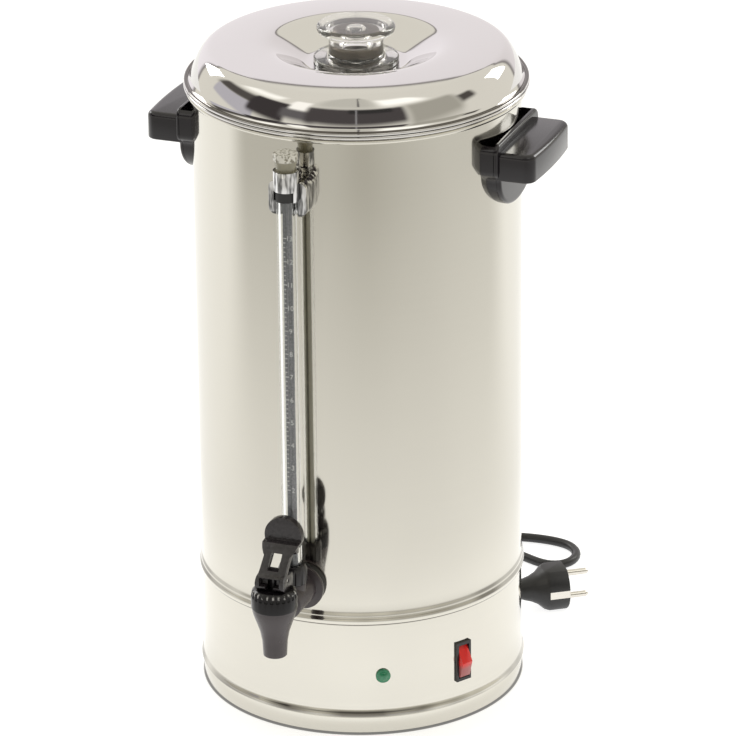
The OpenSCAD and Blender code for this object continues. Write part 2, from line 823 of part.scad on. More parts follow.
module lever_front() {
  hull() {
    translate([-lever_w / 2, -foot_low]) square([lever_w, 6]);
    translate([-lever_w / 2 + 1, 4]) square([lever_w - 2, 3]);
  }
  hull() {
    translate([-lever_w / 2 + 1, 5]) square([lever_w - 2, 2]);
    translate([-lever_w / 2 + 1.4, paddle_up - 4]) square([lever_w - 2.8, 2]);
  }
  translate([0, paddle_up]) circle(r = paddle_r);
}

module tap_lever() {
  color(black)
    translate([0, -spout_at, bonnet_top + pin_up])
      difference() {
        intersection() {
          // side outline, drawn with forward to the left
          rotate([90, 0, -90]) translate([0, 0, -lever_w])
            linear_extrude(2 * lever_w) lever_side();
          translate([0, 60, 0]) rotate([90, 0, 0]) linear_extrude(120) lever_front();
        }
        // slot for the stem, open forward so that the lever can swing
        rotate([0, 90, 0]) translate([0, 0, -stem_r - 0.3])
          cylinder(h = 2 * stem_r + 0.6, r = stem_r + 1.2);
        translate([-stem_r - 0.3, -20, -20])
          cube([2 * stem_r + 0.6, 20 + stem_r + 0.4, 23]);
        // recess in front that shows the stem's eye and the pin
        translate([-lever_w / 2 + 3.3, -20, -2.5]) cube([lever_w - 6.6, 20 - 3.6, 6]);
        // window through the neck
        translate([-4.3, -20, 7]) cube([8.6, 60, 8]);
        // pin bore
        rotate([0, 90, 0]) translate([0, 0, -20]) cylinder(h = 40, r = pin_r + 0.02, $fn = 32);
      }
}

module tap_lever_pin() {
  color(bright)
    translate([-lever_w / 2 + 0.5, -spout_at, bonnet_top + pin_up]) rotate([0, 90, 0])
      cylinder(h = lever_w - 1, r = pin_r, $fn = 32);
}

// ---- sight gauge --------------------------------------------------------

bracket_screw_z = bracket_z - 6;
collar_bore = glass_r + 0.9;

module gauge_glass() {
  color(clear)
    translate([0, -glass_at, boss_top + 2])
      tube(glass_r, glass_bore_r, glass_top_z - boss_top - 2);
}

module gauge_scale() {
  color([0.2, 0.24, 0.3])
    translate([-scale_w / 2, -glass_at + 1.3, boss_top + 4])
      cube([scale_w, 0.8, glass_top_z - boss_top - 8]);
}

module gauge_union_nut() {
  color(black)
    translate([0, -glass_at, 0])
      difference() {
        turned([
          [boss_r + seat, tap_z + pipe_r + 0.1], [union_r - 0.6, tap_z + pipe_r + 0.1],
          [union_r, tap_z + pipe_r + 0.7], [union_r, union_top_z - 4],
          [union_r - 1.6, union_top_z], [glass_r + 0.15, union_top_z],
          [glass_r + 0.15, boss_top + 5], [boss_r + seat, boss_top + 5]]);
        for (a = [0 : 30 : 330])
          rotate([0, 0, a]) translate([union_r + 0.7, 0, tap_z + pipe_r + 1])
            cylinder(h = 40, r = 1.2, $fn = 16);
      }
}

module gauge_lower_seal() {
  color(rubber)
    translate([0, -glass_at, 0])
      turned([
        [glass_bore_r, boss_top], [boss_r - seat, boss_top], [boss_r - seat, boss_top + 5],
        [glass_r + 0.02, boss_top + 5], [glass_r + 0.02, boss_top + 2],
        [glass_bore_r, boss_top + 2]]);
}

module gauge_top_seal() {
  color(rubber)
    translate([0, -glass_at, collar_top_z - collar_h])
      tube(collar_bore - 0.02, glass_r + 0.02, 7);
}

module gauge_bracket() {
  color(bright)
    difference() {
      union() {
        translate([0, -glass_at, collar_top_z - collar_h]) cylinder(h = collar_h, r = collar_r);
        // block from the tank to the glass
        translate([0, -tank_r + 6, bracket_z]) rotate([90, 0, 0])
          rounded_plate(bracket_w, bracket_h, glass_out + 4, 5);
      }
      translate([0, 0, bracket_z - 40]) cylinder(h = 80, r = tank_r + seat, $fn = 192);
      translate([0, -glass_at, bracket_z - 40]) cylinder(h = 80, r = collar_bore);
      // window that shows the seal
      translate([-7.4, -glass_at - 12, collar_top_z - collar_h - 1]) cube([14.8, 12, 8.5]);
      translate([0, -tank_r + 10, bracket_screw_z]) rotate([90, 0, 0])
        cylinder(h = 18, r = 2 + seat, $fn = 32);
    }
}

module gauge_bracket_screw() {
  color(bright)
    translate([0, 0, bracket_screw_z]) rotate([90, 0, 0]) {
      translate([0, 0, tank_in - 2]) cylinder(h = tank_wall + 9.8, r = 2, $fn = 32);
      translate([0, 0, tank_in - 3.4]) cylinder(h = 3.2, r = 3.8, $fn = 6);
    }
}

module gauge_cap() {
  color(clear)
    translate([0, -glass_at, collar_top_z]) {
      translate([0, 0, -8]) cylinder(h = 7.8, r = collar_bore - seat);
      translate([0, 0, -1]) cylinder(h = 1.1, r = cap_r - 2);
      cylinder(h = 7.5, r1 = cap_r - 2, r2 = cap_r - 0.5);
      difference() {
        translate([0, 0, 7.5]) cylinder(h = cap_h, r = cap_r);
        for (a = [0 : 45 : 315])
          rotate([0, 0, a]) translate([cap_r * cos(22.5) + 0.2, -10, 6.5]) cube([5, 20, 20]);
      }
    }
}

// ---- percolator ---------------------------------------------------------

well_z = floor_z - well_d;
tube_top = basket_z + basket_h + 12;

module pump_tube() {
  color(bright)
    difference() {
      union() {
        // foot that stands in the well
        turned([
          [0, well_z + free], [well_r - 3, well_z + free], [well_r - 3, well_z + free + 1],
          [tube_r + 5, well_z + 6], [tube_r, well_z + 16], [0, well_z + 16]]);
        translate([0, 0, well_z + 10]) cylinder(h = tube_top - well_z - 10, r = tube_r);
        // seat of the basket
        translate([0, 0, basket_z - 3]) cylinder(h = 3, r = tube_r + 4);
      }
      translate([0, 0, well_z - 1]) cylinder(h = tube_top, r = tube_r - 1);
      for (a = [0 : 60 : 300])
        rotate([0, 0, a]) translate([well_r - 9, 0, well_z - 2])
          cylinder(h = 12, r = 2, $fn = 32);
    }
}

module coffee_basket() {
  color(bright)
    difference() {
      turned([
        [tube_r + free, basket_z + 0.2], [basket_r, basket_z + 0.2],
        [basket_r, basket_z + basket_h - 1], [basket_r + 2, basket_z + basket_h - 1],
        [basket_r + 2, basket_z + basket_h], [basket_r - basket_wall, basket_z + basket_h],
        [basket_r - basket_wall, basket_z + 0.2 + basket_wall],
        [tube_r + free + basket_wall, basket_z + 0.2 + basket_wall],
        [tube_r + free + basket_wall, basket_z + basket_h - 12],
        [tube_r + free, basket_z + basket_h - 12]]);
      for (z = [14 : 14 : basket_h - 12])
        for (a = [0 : 15 : 345])
          rotate([0, 0, a + z * 0.53]) translate([basket_r - 5, 0, basket_z + z])
            rotate([0, 90, 0]) cylinder(h = 10, r = hole_r, $fn = 16);
      for (k = [1 : 4])
        for (a = [0 : 360 / (6 * k) : 359])
          rotate([0, 0, a]) translate([14 * k + 6, 0, basket_z - 2])
            cylinder(h = 6, r = hole_r, $fn = 16);
    }
}

module basket_spreader() {
  color(bright)
    difference() {
      turned([
        [tube_r + free, basket_z + basket_h + free], [basket_r + 2, basket_z + basket_h + free],
        [basket_r + 2, basket_z + basket_h + free + basket_wall],
        [tube_r + free + 4, basket_z + basket_h + free + basket_wall],
        [tube_r + free + 4, basket_z + basket_h + 6], [tube_r + free, basket_z + basket_h + 6]]);
      for (k = [1 : 4])
        for (a = [0 : 360 / (6 * k) : 359])
          rotate([0, 0, a]) translate([14 * k + 6, 0, basket_z + basket_h - 2])
            cylinder(h = 6, r = hole_r, $fn = 16);
    }
}

// ---- under the tank -----------------------------------------------------

under = floor_z - tank_wall;
heater_t = 6;
heater_rod_r = 3.5;
warm_in = 34;
warm_w = 16;
clamp_w = 14;
clamp_t = 2;
clamp_out = 20;
heater_z = well_z - tank_wall - heater_t;
clamp_z = heater_z - heater_rod_r - 1.6;

module brew_heater() {
  color(grey) {
    translate([0, 0, heater_z]) cylinder(h = heater_t - seat, r = well_r - 2);
    rotate_extrude() translate([well_r - 9, heater_z + 0.5]) circle(r = heater_rod_r, $fn = 32);
    for (y = [-6, 6])
      translate([well_r - 9, y, heater_z + 0.5]) rotate([0, 90, 0])
        cylinder(h = clamp_out, r = heater_rod_r - 0.5, $fn = 32);
  }
}

module warming_heater() {
  color(grey)
    translate([0, 0, under - heater_t - seat]) {
      difference() {
        tube(well_r + warm_in + warm_w, well_r + warm_in, heater_t);
        translate([well_r, -heater_t, -1]) cube([warm_in + 2 * warm_w, 2 * heater_t, 2 * heater_t]);
      }
    }
}

module heater_clamp() {
  color(steel) {
    translate([-well_r - clamp_out, -clamp_w / 2, clamp_z])
      cube([2 * (well_r + clamp_out), clamp_w, clamp_t]);
    for (s = [-1, 1])
      translate([s * (well_r + clamp_out - clamp_t / 2) - clamp_t / 2, -clamp_w / 2, clamp_z])
        cube([clamp_t, clamp_w, under - clamp_z - seat]);
  }
}

module thermostat() {
  color(black)
    translate([-well_r - 66, 0, under - seat]) mirror([0, 0, 1]) {
      cylinder(h = 4, r = 12);
      translate([0, 0, 4]) cylinder(h = 9, r = 10);
    }
}

module thermal_cutout() {
  color(grey)
    translate([0, well_r + 64, under - seat]) mirror([0, 0, 1]) {
      cylinder(h = 2, r = 9);
      translate([0, 0, 2]) cylinder(h = 6, r = 7);
    }
}

block_at = [-12, tank_r - 58];
floor_in = plate_z + plate_t;

module terminal_block() {
  color("white")
    translate([block_at[0], block_at[1], floor_in])
      difference() {
        cube([38, 16, 14]);
        for (x = [7, 19, 31]) {
          translate([x, -1, 8]) rotate([-90, 0, 0]) cylinder(h = 18, r = 2.4, $fn = 32);
          translate([x, 8, 8]) cylinder(h = 10, r = 2.2, $fn = 32);
        }
      }
}

module earth_stud() {
  color("goldenrod")
    translate([62, 48, floor_in]) {
      cylinder(h = 3, r = 4, $fn = 6);
      cylinder(h = 14, r = 2, $fn = 32);
    }
}

// ---- switch and lamp ----------------------------------------------------

housing_w = bezel_w - 2.2;
housing_h = bezel_h - 3;
well_w = rocker_w + 0.4;
well_h = 2 * rocker_half + 2;
pivot_d = bezel_out - 3;
lamp_r = 4;

module switch_housing() {
  color(black)
    on_wall(switch_az, panel_z)
      difference() {
        union() {
          translate([-bezel_w / 2, -bezel_h / 2, seat]) cube([bezel_w, bezel_h, bezel_out - seat]);
          translate([-housing_w / 2, -housing_h / 2, -22]) cube([housing_w, housing_h, 23]);
        }
        translate([-well_w / 2, -well_h / 2, -14]) cube([well_w, well_h, 30]);
        translate([-20, 0, pivot_d]) rotate([0, 90, 0]) cylinder(h = 40, r = 1.55, $fn = 32);
      }
}

// side of the rocker with the pivot at the origin, out along X, up along Y
module rocker_side() {
  polygon([
    [2.5, rocker_half], [5.5, 0.7], [5.5, -0.7], [2.5, -rocker_half],
    [1.8, -rocker_half - 0.35], [-1, -rocker_half], [-3.5, -rocker_half + 4], [-6, -3],
    [-6, 3], [-3.5, rocker_half - 4], [-1, rocker_half], [1.8, rocker_half + 0.35]]);
}

module switch_rocker() {
  color([0.80, 0.05, 0.04])
    on_wall(switch_az, panel_z) translate([0, 0, pivot_d]) {
      rotate([-rocker_tilt, 0, 0]) {
        rotate([0, -90, 0]) translate([0, 0, -rocker_w / 2])
          linear_extrude(rocker_w) rocker_side();
        rotate([0, 90, 0]) translate([0, 0, -rocker_w / 2 - 0.6])
          cylinder(h = rocker_w + 1.2, r = 1.5, $fn = 32);
      }
    }
}

module switch_terminals() {
  color(bright)
    on_wall(switch_az, panel_z)
      for (x = [-3, 3])
        for (y = [-6, 6])
          translate([x - 0.4, y - 3, -32]) cube([0.8, 6, 10]);
}

module lamp_lens() {
  color([0.05, 0.32, 0.20])
    on_wall(lamp_az, panel_z)
      turned([
        [0, 0.15], [lens_r, 0.15], [lens_r, 1.2], [lens_r - 0.5, 1.6], [lens_r - 1.2, 1.7],
        [lens_r - 2.2, 2.6], [lens_r - 3.6, 3.2], [0, 3.5]]);
}

module lamp_body() {
  color(black)
    on_wall(lamp_az, panel_z) {
      translate([0, 0, -20]) cylinder(h = 20.1, r = lamp_r);
      translate([0, 0, -skirt_wall - 2.6]) cylinder(h = 2.2, r = lamp_r + 3, $fn = 8);
      for (x = [-2, 2])
        translate([x - 0.4, -1.5, -27]) cube([0.8, 3, 8]);
    }
}

// ---- mains lead and plug ------------------------------------------------

lead_r = lead_d / 2;
gland_shank = 8;
gland_nut_t = 5;

module gland_nut() {
  color(black)
    on_wall(180, gland_z) {
      difference() {
        translate([0, 0, 0.3]) cylinder(h = gland_nut_t, r = gland_r, $fn = 12);
        translate([0, 0, -1]) cylinder(h = 20, r = gland_shank + seat);
      }
      difference() {
        translate([0, 0, -skirt_wall - 4.6]) cylinder(h = 4, r = gland_r, $fn = 12);
        translate([0, 0, -20]) cylinder(h = 40, r = gland_shank + seat);
      }
    }
}

module gland_boot() {
  color(rubber)
    on_wall(180, gland_z)
      turned([
        [0, -8], [gland_shank, -8], [gland_shank, 5.3], [7, 5.5],
        [6.6, 28.5 - boot_l * 0.6], [5.2, 28.5 - boot_l * 0.2],
        [lead_r + 1, 28], [lead_r + 0.6, 28.5], [0, 28.5]]);
}

// ring of eight or ten points round p, square to the way d
function ring_at(p, d, r, n) =
  let (w = d / norm(d), s = cross(w, [0, 0, 1]), u = s / norm(s), v = cross(u, w))
  [for (i = [0 : n - 1]) p + r * (cos(360 * i / n) * u + sin(360 * i / n) * v)];

// a round bar swept along points, its ends square to the first and last way
module swept(path, r, n, d0, d1) {
  m = len(path);
  dirs = [
    for (i = [0 : m - 1])
      i == 0 ? d0 : i == m - 1 ? d1
      : (path[i] - path[i - 1]) / norm(path[i] - path[i - 1])
        + (path[i + 1] - path[i]) / norm(path[i + 1] - path[i])
  ];
  pts = [for (i = [0 : m - 1]) each ring_at(path[i], dirs[i], r, n)];
  faces = concat(
    [[for (i = [n - 1 : -1 : 0]) i]],
    [for (j = [0 : m - 2]) for (i = [0 : n - 1])
      let (k = (i + 1) % n) [j * n + i, j * n + k, (j + 1) * n + k, (j + 1) * n + i]],
    [[for (i = [0 : n - 1]) (m - 1) * n + i]]);
  polyhedron(pts, faces);
}

// the way of the lead from the boot to the coil
lead_path = [
  [0, 146.5, 47], [0, 158, 45.5], [-0.5, 171, 40.5], [-1, 184, 32.5], [-1, 196, 24.5],
  [0, 207, 16.8], [3, 218, 12.5], [9, 229, 8.5], [18, 238, 5], [30, 243.5, 3.7],
  [44, 247, 3.6], [57, 248, 3.6], [69, 247.5, 3.6], [81.2, 244.2, 3.6],
  [90.2, 235.2, 3.6], [93.5, 223, 3.6], [90.8, 212, 3.6], [83.5, 205, 3.6],
  [73.5, 204, 3.6], [62, 208.5, 3.6], [48, 215.5, 3.6], [32, 220.5, 3.6],
  [15, 221.8, 3.6], [-5, 218.5, 3.6], [-25, 211.5, 3.6], [-50, 203, 3.6],
  [-75, 199.5, 3.6]
];
// the way of the lead from the coil to the plug
end_path = [
  [-75, 122.5, 17.5], [-60, 122.6, 16.5], [-45, 123, 12.5], [-30, 125, 7],
  [-15, 127, 3.8], [5, 127.5, 3.6], [25, 123.5, 3.6], [35, 120, 4.2],
  [44.3, 117.3, 6.5], [52, 116.2, 9.8], [59, 116.8, 13.2], [69.1, 121, 16]
];
coil_mid = [-75, 161];
coil_r = 35;

module cord_lead() {
  color(rubber) swept(lead_path, lead_r, 8, [0, 1, 0], [-1, 0, 0]);
}

module cord_coil() {
  color(rubber)
    translate([coil_mid[0], coil_mid[1], 0])
      turned([
        [coil_r - 7, 0], [coil_r + 7, 0], [coil_r + 7, 20], [coil_r + 6, 21],
        [coil_r - 6, 21], [coil_r - 7, 20]]);
}

module cord_end() {
  color(rubber) swept(end_path, lead_r, 8, [1, 0, 0], [cos(35), sin(35), 0]);
}

module cord_tie() {
  color(black)
    translate([coil_mid[0] - coil_r, coil_mid[1], 10.9]) rotate([90, 0, 0])
      translate([0, 0, -2])
        linear_extrude(4)
          difference() {
            square([17, 21.8], center = true);
            square([14.1, 20.5], center = true);
          }
}

plug_face = [108.4, 148.6, 16];
plug_turn = 35;
plug_body_l = 48;

// puts children on the plug: +Z from the lead to the pins, zero at the face
module on_plug() {
  translate(plug_face) rotate([0, 0, plug_turn]) rotate([0, 90, 0]) children();
}

module plug_body() {
  color(black)
    on_plug()
      difference() {
        intersection() {
          turned([
            [0, 0], [plug_r - 0.6, 0], [plug_r - 0.2, -0.6], [plug_r - 0.2, -14],
            [plug_r - 1.6, -17], [plug_r - 6, -22], [10, -27], [8.5, -32],
            [7, -36], [5.6, -plug_body_l + 4], [lead_r + 1.2, -plug_body_l],
            [0, -plug_body_l]]);
          cube([plug_flats, 60, 120], center = true);
        }
        for (s = [-1, 1]) {
          translate([s * pin_pitch / 2, 0, -12]) cylinder(h = 13, r = plug_pin_r, $fn = 32);
          translate([-3, s * plug_r - 2, -16]) cube([6, 4, 17]);
        }
      }
}

module plug_pins() {
  color(bright)
    on_plug()
      for (s = [-1, 1])
        translate([s * pin_pitch / 2, 0, 0])
          turned([
            [0, -12], [plug_pin_r, -12], [plug_pin_r, plug_pin_l - 2],
            [plug_pin_r - 0.7, plug_pin_l - 0.5], [plug_pin_r - 1.4, plug_pin_l],
            [0, plug_pin_l]]);
}

module plug_earth_clips() {
  color(bright)
    on_plug()
      for (s = [-1, 1])
        scale([1, s, 1])
          translate([-2.9, plug_r - 1.95, -15.9]) cube([5.8, 1.6, 15.7]);
}

// wires inside the base, from the outlet over the block to what they feed
wire_in = tank_r - 8.6;
terminal_at = [sin(switch_az + 2.2), -cos(switch_az + 2.2)] * (tank_r - 32.6);
wire_paths = [
  [[-4, wire_in, gland_z], [-5, wire_in - 9, gland_z - 4], [-5, wire_in - 17, 30],
   [-5, block_at[1] + 24, 20], [-5, block_at[1] + 16.2, 13]],
  [[7, block_at[1] - 0.2, 13], [8, block_at[1] - 10, 20], [16, 30, 40], [20, 12, 62],
   [well_r - 2, 6, heater_z - 7.2]],
  [[19, block_at[1] - 0.2, 13], [30, 40, 14], [60, 10, 20],
   [terminal_at[0] + 1.5, terminal_at[1] + 22, panel_z - 14],
   [terminal_at[0], terminal_at[1], panel_z - 3]]
];

module wiring() {
  color("brown")
    for (p = wire_paths)
      swept(p, 1.4, 8, p[1] - p[0], p[len(p) - 1] - p[len(p) - 2]);
}

tank_shell();
base_skirt();
bottom_ring();
bottom_plate();
bottom_screws();
foot_ring();
lid_shell();
lid_middle();
lid_knob();
knob_nut();
handle_left();
handle_right();
handle_inserts();
handle_screws();
handle_seals();
tap_body();
tap_outer_seal();
tap_inner_seal();
tap_nut();
tap_bonnet();
tap_stem();
tap_seat_cup();
tap_lever();
tap_lever_pin();
gauge_glass();
gauge_scale();
gauge_union_nut();
gauge_lower_seal();
gauge_top_seal();
gauge_bracket();
gauge_bracket_screw();
gauge_cap();
pump_tube();
coffee_basket();
basket_spreader();
brew_heater();
warming_heater();
heater_clamp();
thermostat();
thermal_cutout();
terminal_block();
earth_stud();
wiring();
lamp_lens();
lamp_body();
switch_housing();
switch_rocker();
switch_terminals();
gland_nut();
gland_boot();
cord_lead();
cord_coil();
cord_end();
cord_tie();
plug_body();
plug_pins();
plug_earth_clips();
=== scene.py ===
import math

import bmesh
import bpy
from mathutils import Matrix, Vector


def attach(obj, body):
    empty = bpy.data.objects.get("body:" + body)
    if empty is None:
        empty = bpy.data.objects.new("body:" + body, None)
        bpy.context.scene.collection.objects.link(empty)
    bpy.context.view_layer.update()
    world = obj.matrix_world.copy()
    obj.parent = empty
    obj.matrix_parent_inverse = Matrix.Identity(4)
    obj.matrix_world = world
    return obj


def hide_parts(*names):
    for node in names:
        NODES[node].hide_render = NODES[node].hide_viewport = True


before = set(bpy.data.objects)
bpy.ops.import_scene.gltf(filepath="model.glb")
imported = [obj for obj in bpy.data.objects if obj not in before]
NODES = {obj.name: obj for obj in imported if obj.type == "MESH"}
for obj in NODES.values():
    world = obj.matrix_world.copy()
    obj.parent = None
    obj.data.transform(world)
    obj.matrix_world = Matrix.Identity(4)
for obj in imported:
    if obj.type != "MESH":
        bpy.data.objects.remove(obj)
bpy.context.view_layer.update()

MM = 0.001

# ---- sizes in millimetres, as the solids have them ----------------------

TANK_R = 118.0  # outside of the tank's wall and of the base
TANK_IN = TANK_R - 1
RING_TOP = 14  # where the base stands on the bottom ring
SEAM_Z = 88  # where the tank stands on the base
FLOOR_Z = 100  # the tank's floor
WELL_R = 26  # the heater's well in that floor
WELL_Z = 86
RIM_Z = 458.6
PANEL_Z = 47  # height of the switch and the lamp
SWITCH_AZ = 58.5  # turns from the tap, in degrees
LAMP_AZ = 27.7
TAP_Y = -176  # the tap's upright axis
LID_FOOT = 462.85
LID_TOP = LID_FOOT + 27.2
DISH_Z = LID_TOP - 14  # the lid's flat middle
SMOOTH_ROUND = 224  # sides of the large round pieces

# plan directions: from the urn towards the viewer, and to the viewer's right
AHEAD = (0.350, -0.937)
RIGHT = (0.937, 0.350)

# ---- camera -------------------------------------------------------------

CAMERA_PLACE = (1.2341, -3.2557, 1.6925)
CAMERA_WAY = (-0.3233, 0.8646, -0.3847)
CAMERA_ROLL = -0.0097
CAMERA_LENS = 253.13
CAMERA_SHIFT = (-0.0180, -0.0045)


def set_camera():
    """A long lens, a little above the lid's height, to the right of the tap."""
    data = bpy.data.cameras.new("camera")
    camera = bpy.data.objects.new("camera", data)
    bpy.context.scene.collection.objects.link(camera)
    forward = Vector(CAMERA_WAY).normalized()
    level = forward.cross(Vector((0, 0, 1))).normalized()
    upright = level.cross(forward)
    right = math.cos(CAMERA_ROLL) * level + math.sin(CAMERA_ROLL) * upright
    up = -math.sin(CAMERA_ROLL) * level + math.cos(CAMERA_ROLL) * upright
    turn = Matrix((right, up, -forward)).transposed().to_4x4()
    camera.matrix_world = Matrix.Translation(CAMERA_PLACE) @ turn
    data.sensor_width = 36
    data.lens = CAMERA_LENS
    data.shift_x, data.shift_y = CAMERA_SHIFT
    data.clip_end = 50
    bpy.context.scene.camera = camera


set_camera()

# ---- finishes -----------------------------------------------------------


class Value:
    """A socket of a finish that can be added, multiplied and mixed like a number."""

    def __init__(self, graph, socket):
        self.graph = graph
        self.socket = socket

    def _math(self, operation, first, second=None):
        inputs = {0: first} if second is None else {0: first, 1: second}
        return self.graph.node("ShaderNodeMath", {"operation": operation}, inputs)

    def __add__(self, other):
        return self._math("ADD", self, other)

    def __radd__(self, other):
        return self._math("ADD", other, self)

    def __sub__(self, other):
        return self._math("SUBTRACT", self, other)

    def __rsub__(self, other):
        return self._math("SUBTRACT", other, self)

    def __mul__(self, other):
        return self._math("MULTIPLY", self, other)

    def __rmul__(self, other):
        return self._math("MULTIPLY", other, self)

    def power(self, other):
        return self._math("POWER", self, other)

    def size(self):
        return self._math("ABSOLUTE", self)

    def sine(self):
        return self._math("SINE", self)

    def rise(self):
        """The angle over the horizon, from the height of a direction."""
        return self._math("ARCSINE", self)

    def angle_to(self, other):
        return self._math("ARCTAN2", self, other)


class Graph:
    """The nodes of one finish, or of the surroundings."""

    def __init__(self, tree):
        self.tree = tree
        self.tree.nodes.clear()

    def node(self, kind, settings=None, inputs=None, output=0):
        made = self.tree.nodes.new(kind)
        for key, value in (settings or {}).items():
            setattr(made, key, value)
        for key, value in (inputs or {}).items():
            if isinstance(value, Value):
                self.tree.links.new(value.socket, made.inputs[key])
            else:
                made.inputs[key].default_value = value
        return Value(self, made.outputs[output]) if made.outputs else None

    def place(self, coordinates="Object"):
        """The whole place on the piece, then its x, y and z."""
        spot = self.node("ShaderNodeTexCoord", output=coordinates)
        parts = [self.node("ShaderNodeSeparateXYZ", inputs={0: spot}, output=i) for i in range(3)]
        return [spot, *parts]

    def vector(self, x, y, z):
        return self.node("ShaderNodeCombineXYZ", inputs={0: x, 1: y, 2: z})

    def noise(self, spot, scale, detail=3.0, rough=0.5):
        return self.node(
            "ShaderNodeTexNoise",
            inputs={"Vector": spot, "Scale": scale, "Detail": detail, "Roughness": rough},
        )

    def between(self, amount, low, high, start=0.0, stop=1.0, smooth=False):
        """A number that goes from low to high while the amount goes from start to stop."""
        kind = "SMOOTHSTEP" if smooth else "LINEAR"
        return self.node(
            "ShaderNodeMapRange",
            {"interpolation_type": kind},
            {"Value": amount, "From Min": start, "From Max": stop, "To Min": low, "To Max": high},
        )

    def blend(self, amount, first, second):
        """Two colours mixed by amount."""
        inputs = {0: amount, 6: first, 7: second}
        for key in (6, 7):
            if not isinstance(inputs[key], Value):
                inputs[key] = (*inputs[key], 1.0)
        return self.node("ShaderNodeMix", {"data_type": "RGBA"}, inputs, output=2)


class Finish(Graph):
    """A surface finish: one Principled shader and the nodes that vary it."""

    def __init__(self, name, colour, metallic=0.0, roughness=0.5, **constants):
        self.material = bpy.data.materials.new(name)
        self.material.use_nodes = True
        super().__init__(self.material.node_tree)
        out = self.tree.nodes.new("ShaderNodeOutputMaterial")
        self.shader = self.tree.nodes.new("ShaderNodeBsdfPrincipled")
        self.tree.links.new(self.shader.outputs[0], out.inputs[0])
        self.set("Base Color", (*colour, 1.0))
        self.set("Metallic", metallic)
        self.set("Roughness", roughness)
        for key, value in constants.items():
            self.set(key.replace("_", " "), value)
        self.material.diffuse_color = (*colour, 1.0)

    def set(self, socket, value):
        target = self.shader.inputs[socket]
        if isinstance(value, Value):
            self.tree.links.new(value.socket, target)
        else:
            target.default_value = value

    def bump(self, height, distance, strength=1.0):
        self.set(
            "Normal",
            self.node(
                "ShaderNodeBump",
                inputs={"Height": height, "Distance": distance, "Strength": strength},
            ),
        )


def painted_dark_lines(finish, z, colour, *lines):
    """The colour with painted dark lines, each given as height, half width in mm and strength:
    painted shade in creases and painted dark reflections across beads.
    """
    dark = 0.0
    for height, half, strength in lines:
        dark = finish.between((z * 1000 - height).size(), strength, 0.0, half * 0.4, half,
                              smooth=True) + dark
    return finish.blend(dark, colour, (0.11, 0.10, 0.09))


def rolled_steel(name, colour, roughness, grain):
    """Sheet polished round the tank: fine streaks that run round it."""
    steel = Finish(name, colour, metallic=1.0, roughness=roughness)
    spot, x, y, z = steel.place()
    streaks = steel.noise(steel.vector(y.angle_to(x) * 0.7, 0.0, z * 900), 1.0, 4.0, 0.6)
    cloud = steel.noise(spot, 9.0, 2.0)
    steel.set("Roughness", steel.between(streaks, roughness - grain, roughness + grain))
    tint = steel.blend(streaks * 0.5 + cloud * 0.5,
                       tuple(c * 0.97 for c in colour), tuple(min(1, c * 1.03) for c in colour))
    # painted dark reflections: how dark the wide bands across the two beads are, patchy round the
    # tank
    uneven = steel.noise(steel.vector(y.angle_to(x) * 2.2, 0.0, z * 20), 1.0, 1.5)
    reflection_dark = steel.between(uneven, 0.12, 0.85, 0.36, 0.60)
    # painted shade, with some dirt, in the creases at the rim, at the seam and at the bottom ring,
    # and painted dark reflections in wide bands across the two beads
    steel.set("Base Color", painted_dark_lines(
        steel, z, tint,
        (RIM_Z - 2.3, 0.5, 1.0), (RIM_Z + 2.0, 0.4, 1.0), (SEAM_Z, 0.9, 1.0), (RING_TOP, 0.4, 1.0),
        (SEAM_Z + 8.4, 1.8, reflection_dark * 0.7), (SEAM_Z + 4.6, 2.0, reflection_dark * 0.9),
        (RING_TOP + 3.2, 3.4, reflection_dark)))
    steel.bump(streaks, 0.00002, 0.35)
    return steel.material


def mirror_steel(name, colour, roughness):
    """Buffed sheet: very fine rings round the lid's middle."""
    steel = Finish(name, colour, metallic=1.0, roughness=roughness)
    spot, x, y, z = steel.place()
    rings = steel.noise(steel.vector((x * x + y * y).power(0.5) * 500, z * 300, 0.0), 1.0, 2.0)
    cloud = steel.noise(spot, 14.0, 2.0)
    steel.set("Roughness", steel.between(rings * 0.6 + cloud * 0.4,
                                         roughness * 0.6, roughness * 1.4))
    tint = steel.blend(cloud, tuple(c * 0.98 for c in colour), tuple(c * 1.02 for c in colour))
    # painted shade, with some dirt, in the creases above, between and below the lid's two beads
    steel.set("Base Color", painted_dark_lines(
        steel, z, tint,
        (LID_FOOT - 2.35, 0.4, 0.9), (LID_FOOT + 0.1, 0.4, 0.9), (LID_FOOT + 2.65, 0.5, 1.0)))
    steel.bump(rings, 0.00001, 0.2)
    return steel.material


def plain_metal(name, colour, roughness):
    metal = Finish(name, colour, metallic=1.0, roughness=roughness)
    spot, *_ = metal.place()
    cloud = metal.noise(spot, 60.0, 3.0)
    metal.set("Roughness", metal.between(cloud, roughness * 0.7, roughness * 1.3))
    metal.bump(cloud, 0.00003, 0.2)
    return metal.material


def moulding(name, colour, roughness, grain=0.00004, scale=900.0, shine=0.5, wear_and_sheen=1.0,
             spread=55.0):
    """Moulded plastic or rubber: a fine skin with soft unevenness."""
    skin = Finish(name, colour, roughness=roughness, Specular_IOR_Level=shine)
    spot, *_ = skin.place()
    fine = skin.noise(spot, scale, 3.0)
    slow = skin.noise(spot, spread, 2.0)
    skin.set("Roughness", skin.between(slow, roughness * 0.8, roughness * 1.2))
    skin.set("Base Color", skin.blend(slow, tuple(max(0, c * (1 - 0.15 * wear_and_sheen)) for c in colour),
                                      tuple(min(1, c * (1 + 0.2 * wear_and_sheen)) for c in colour)))
    skin.bump(fine * 0.5 + slow * 0.5, grain, 0.4)
    return skin.material


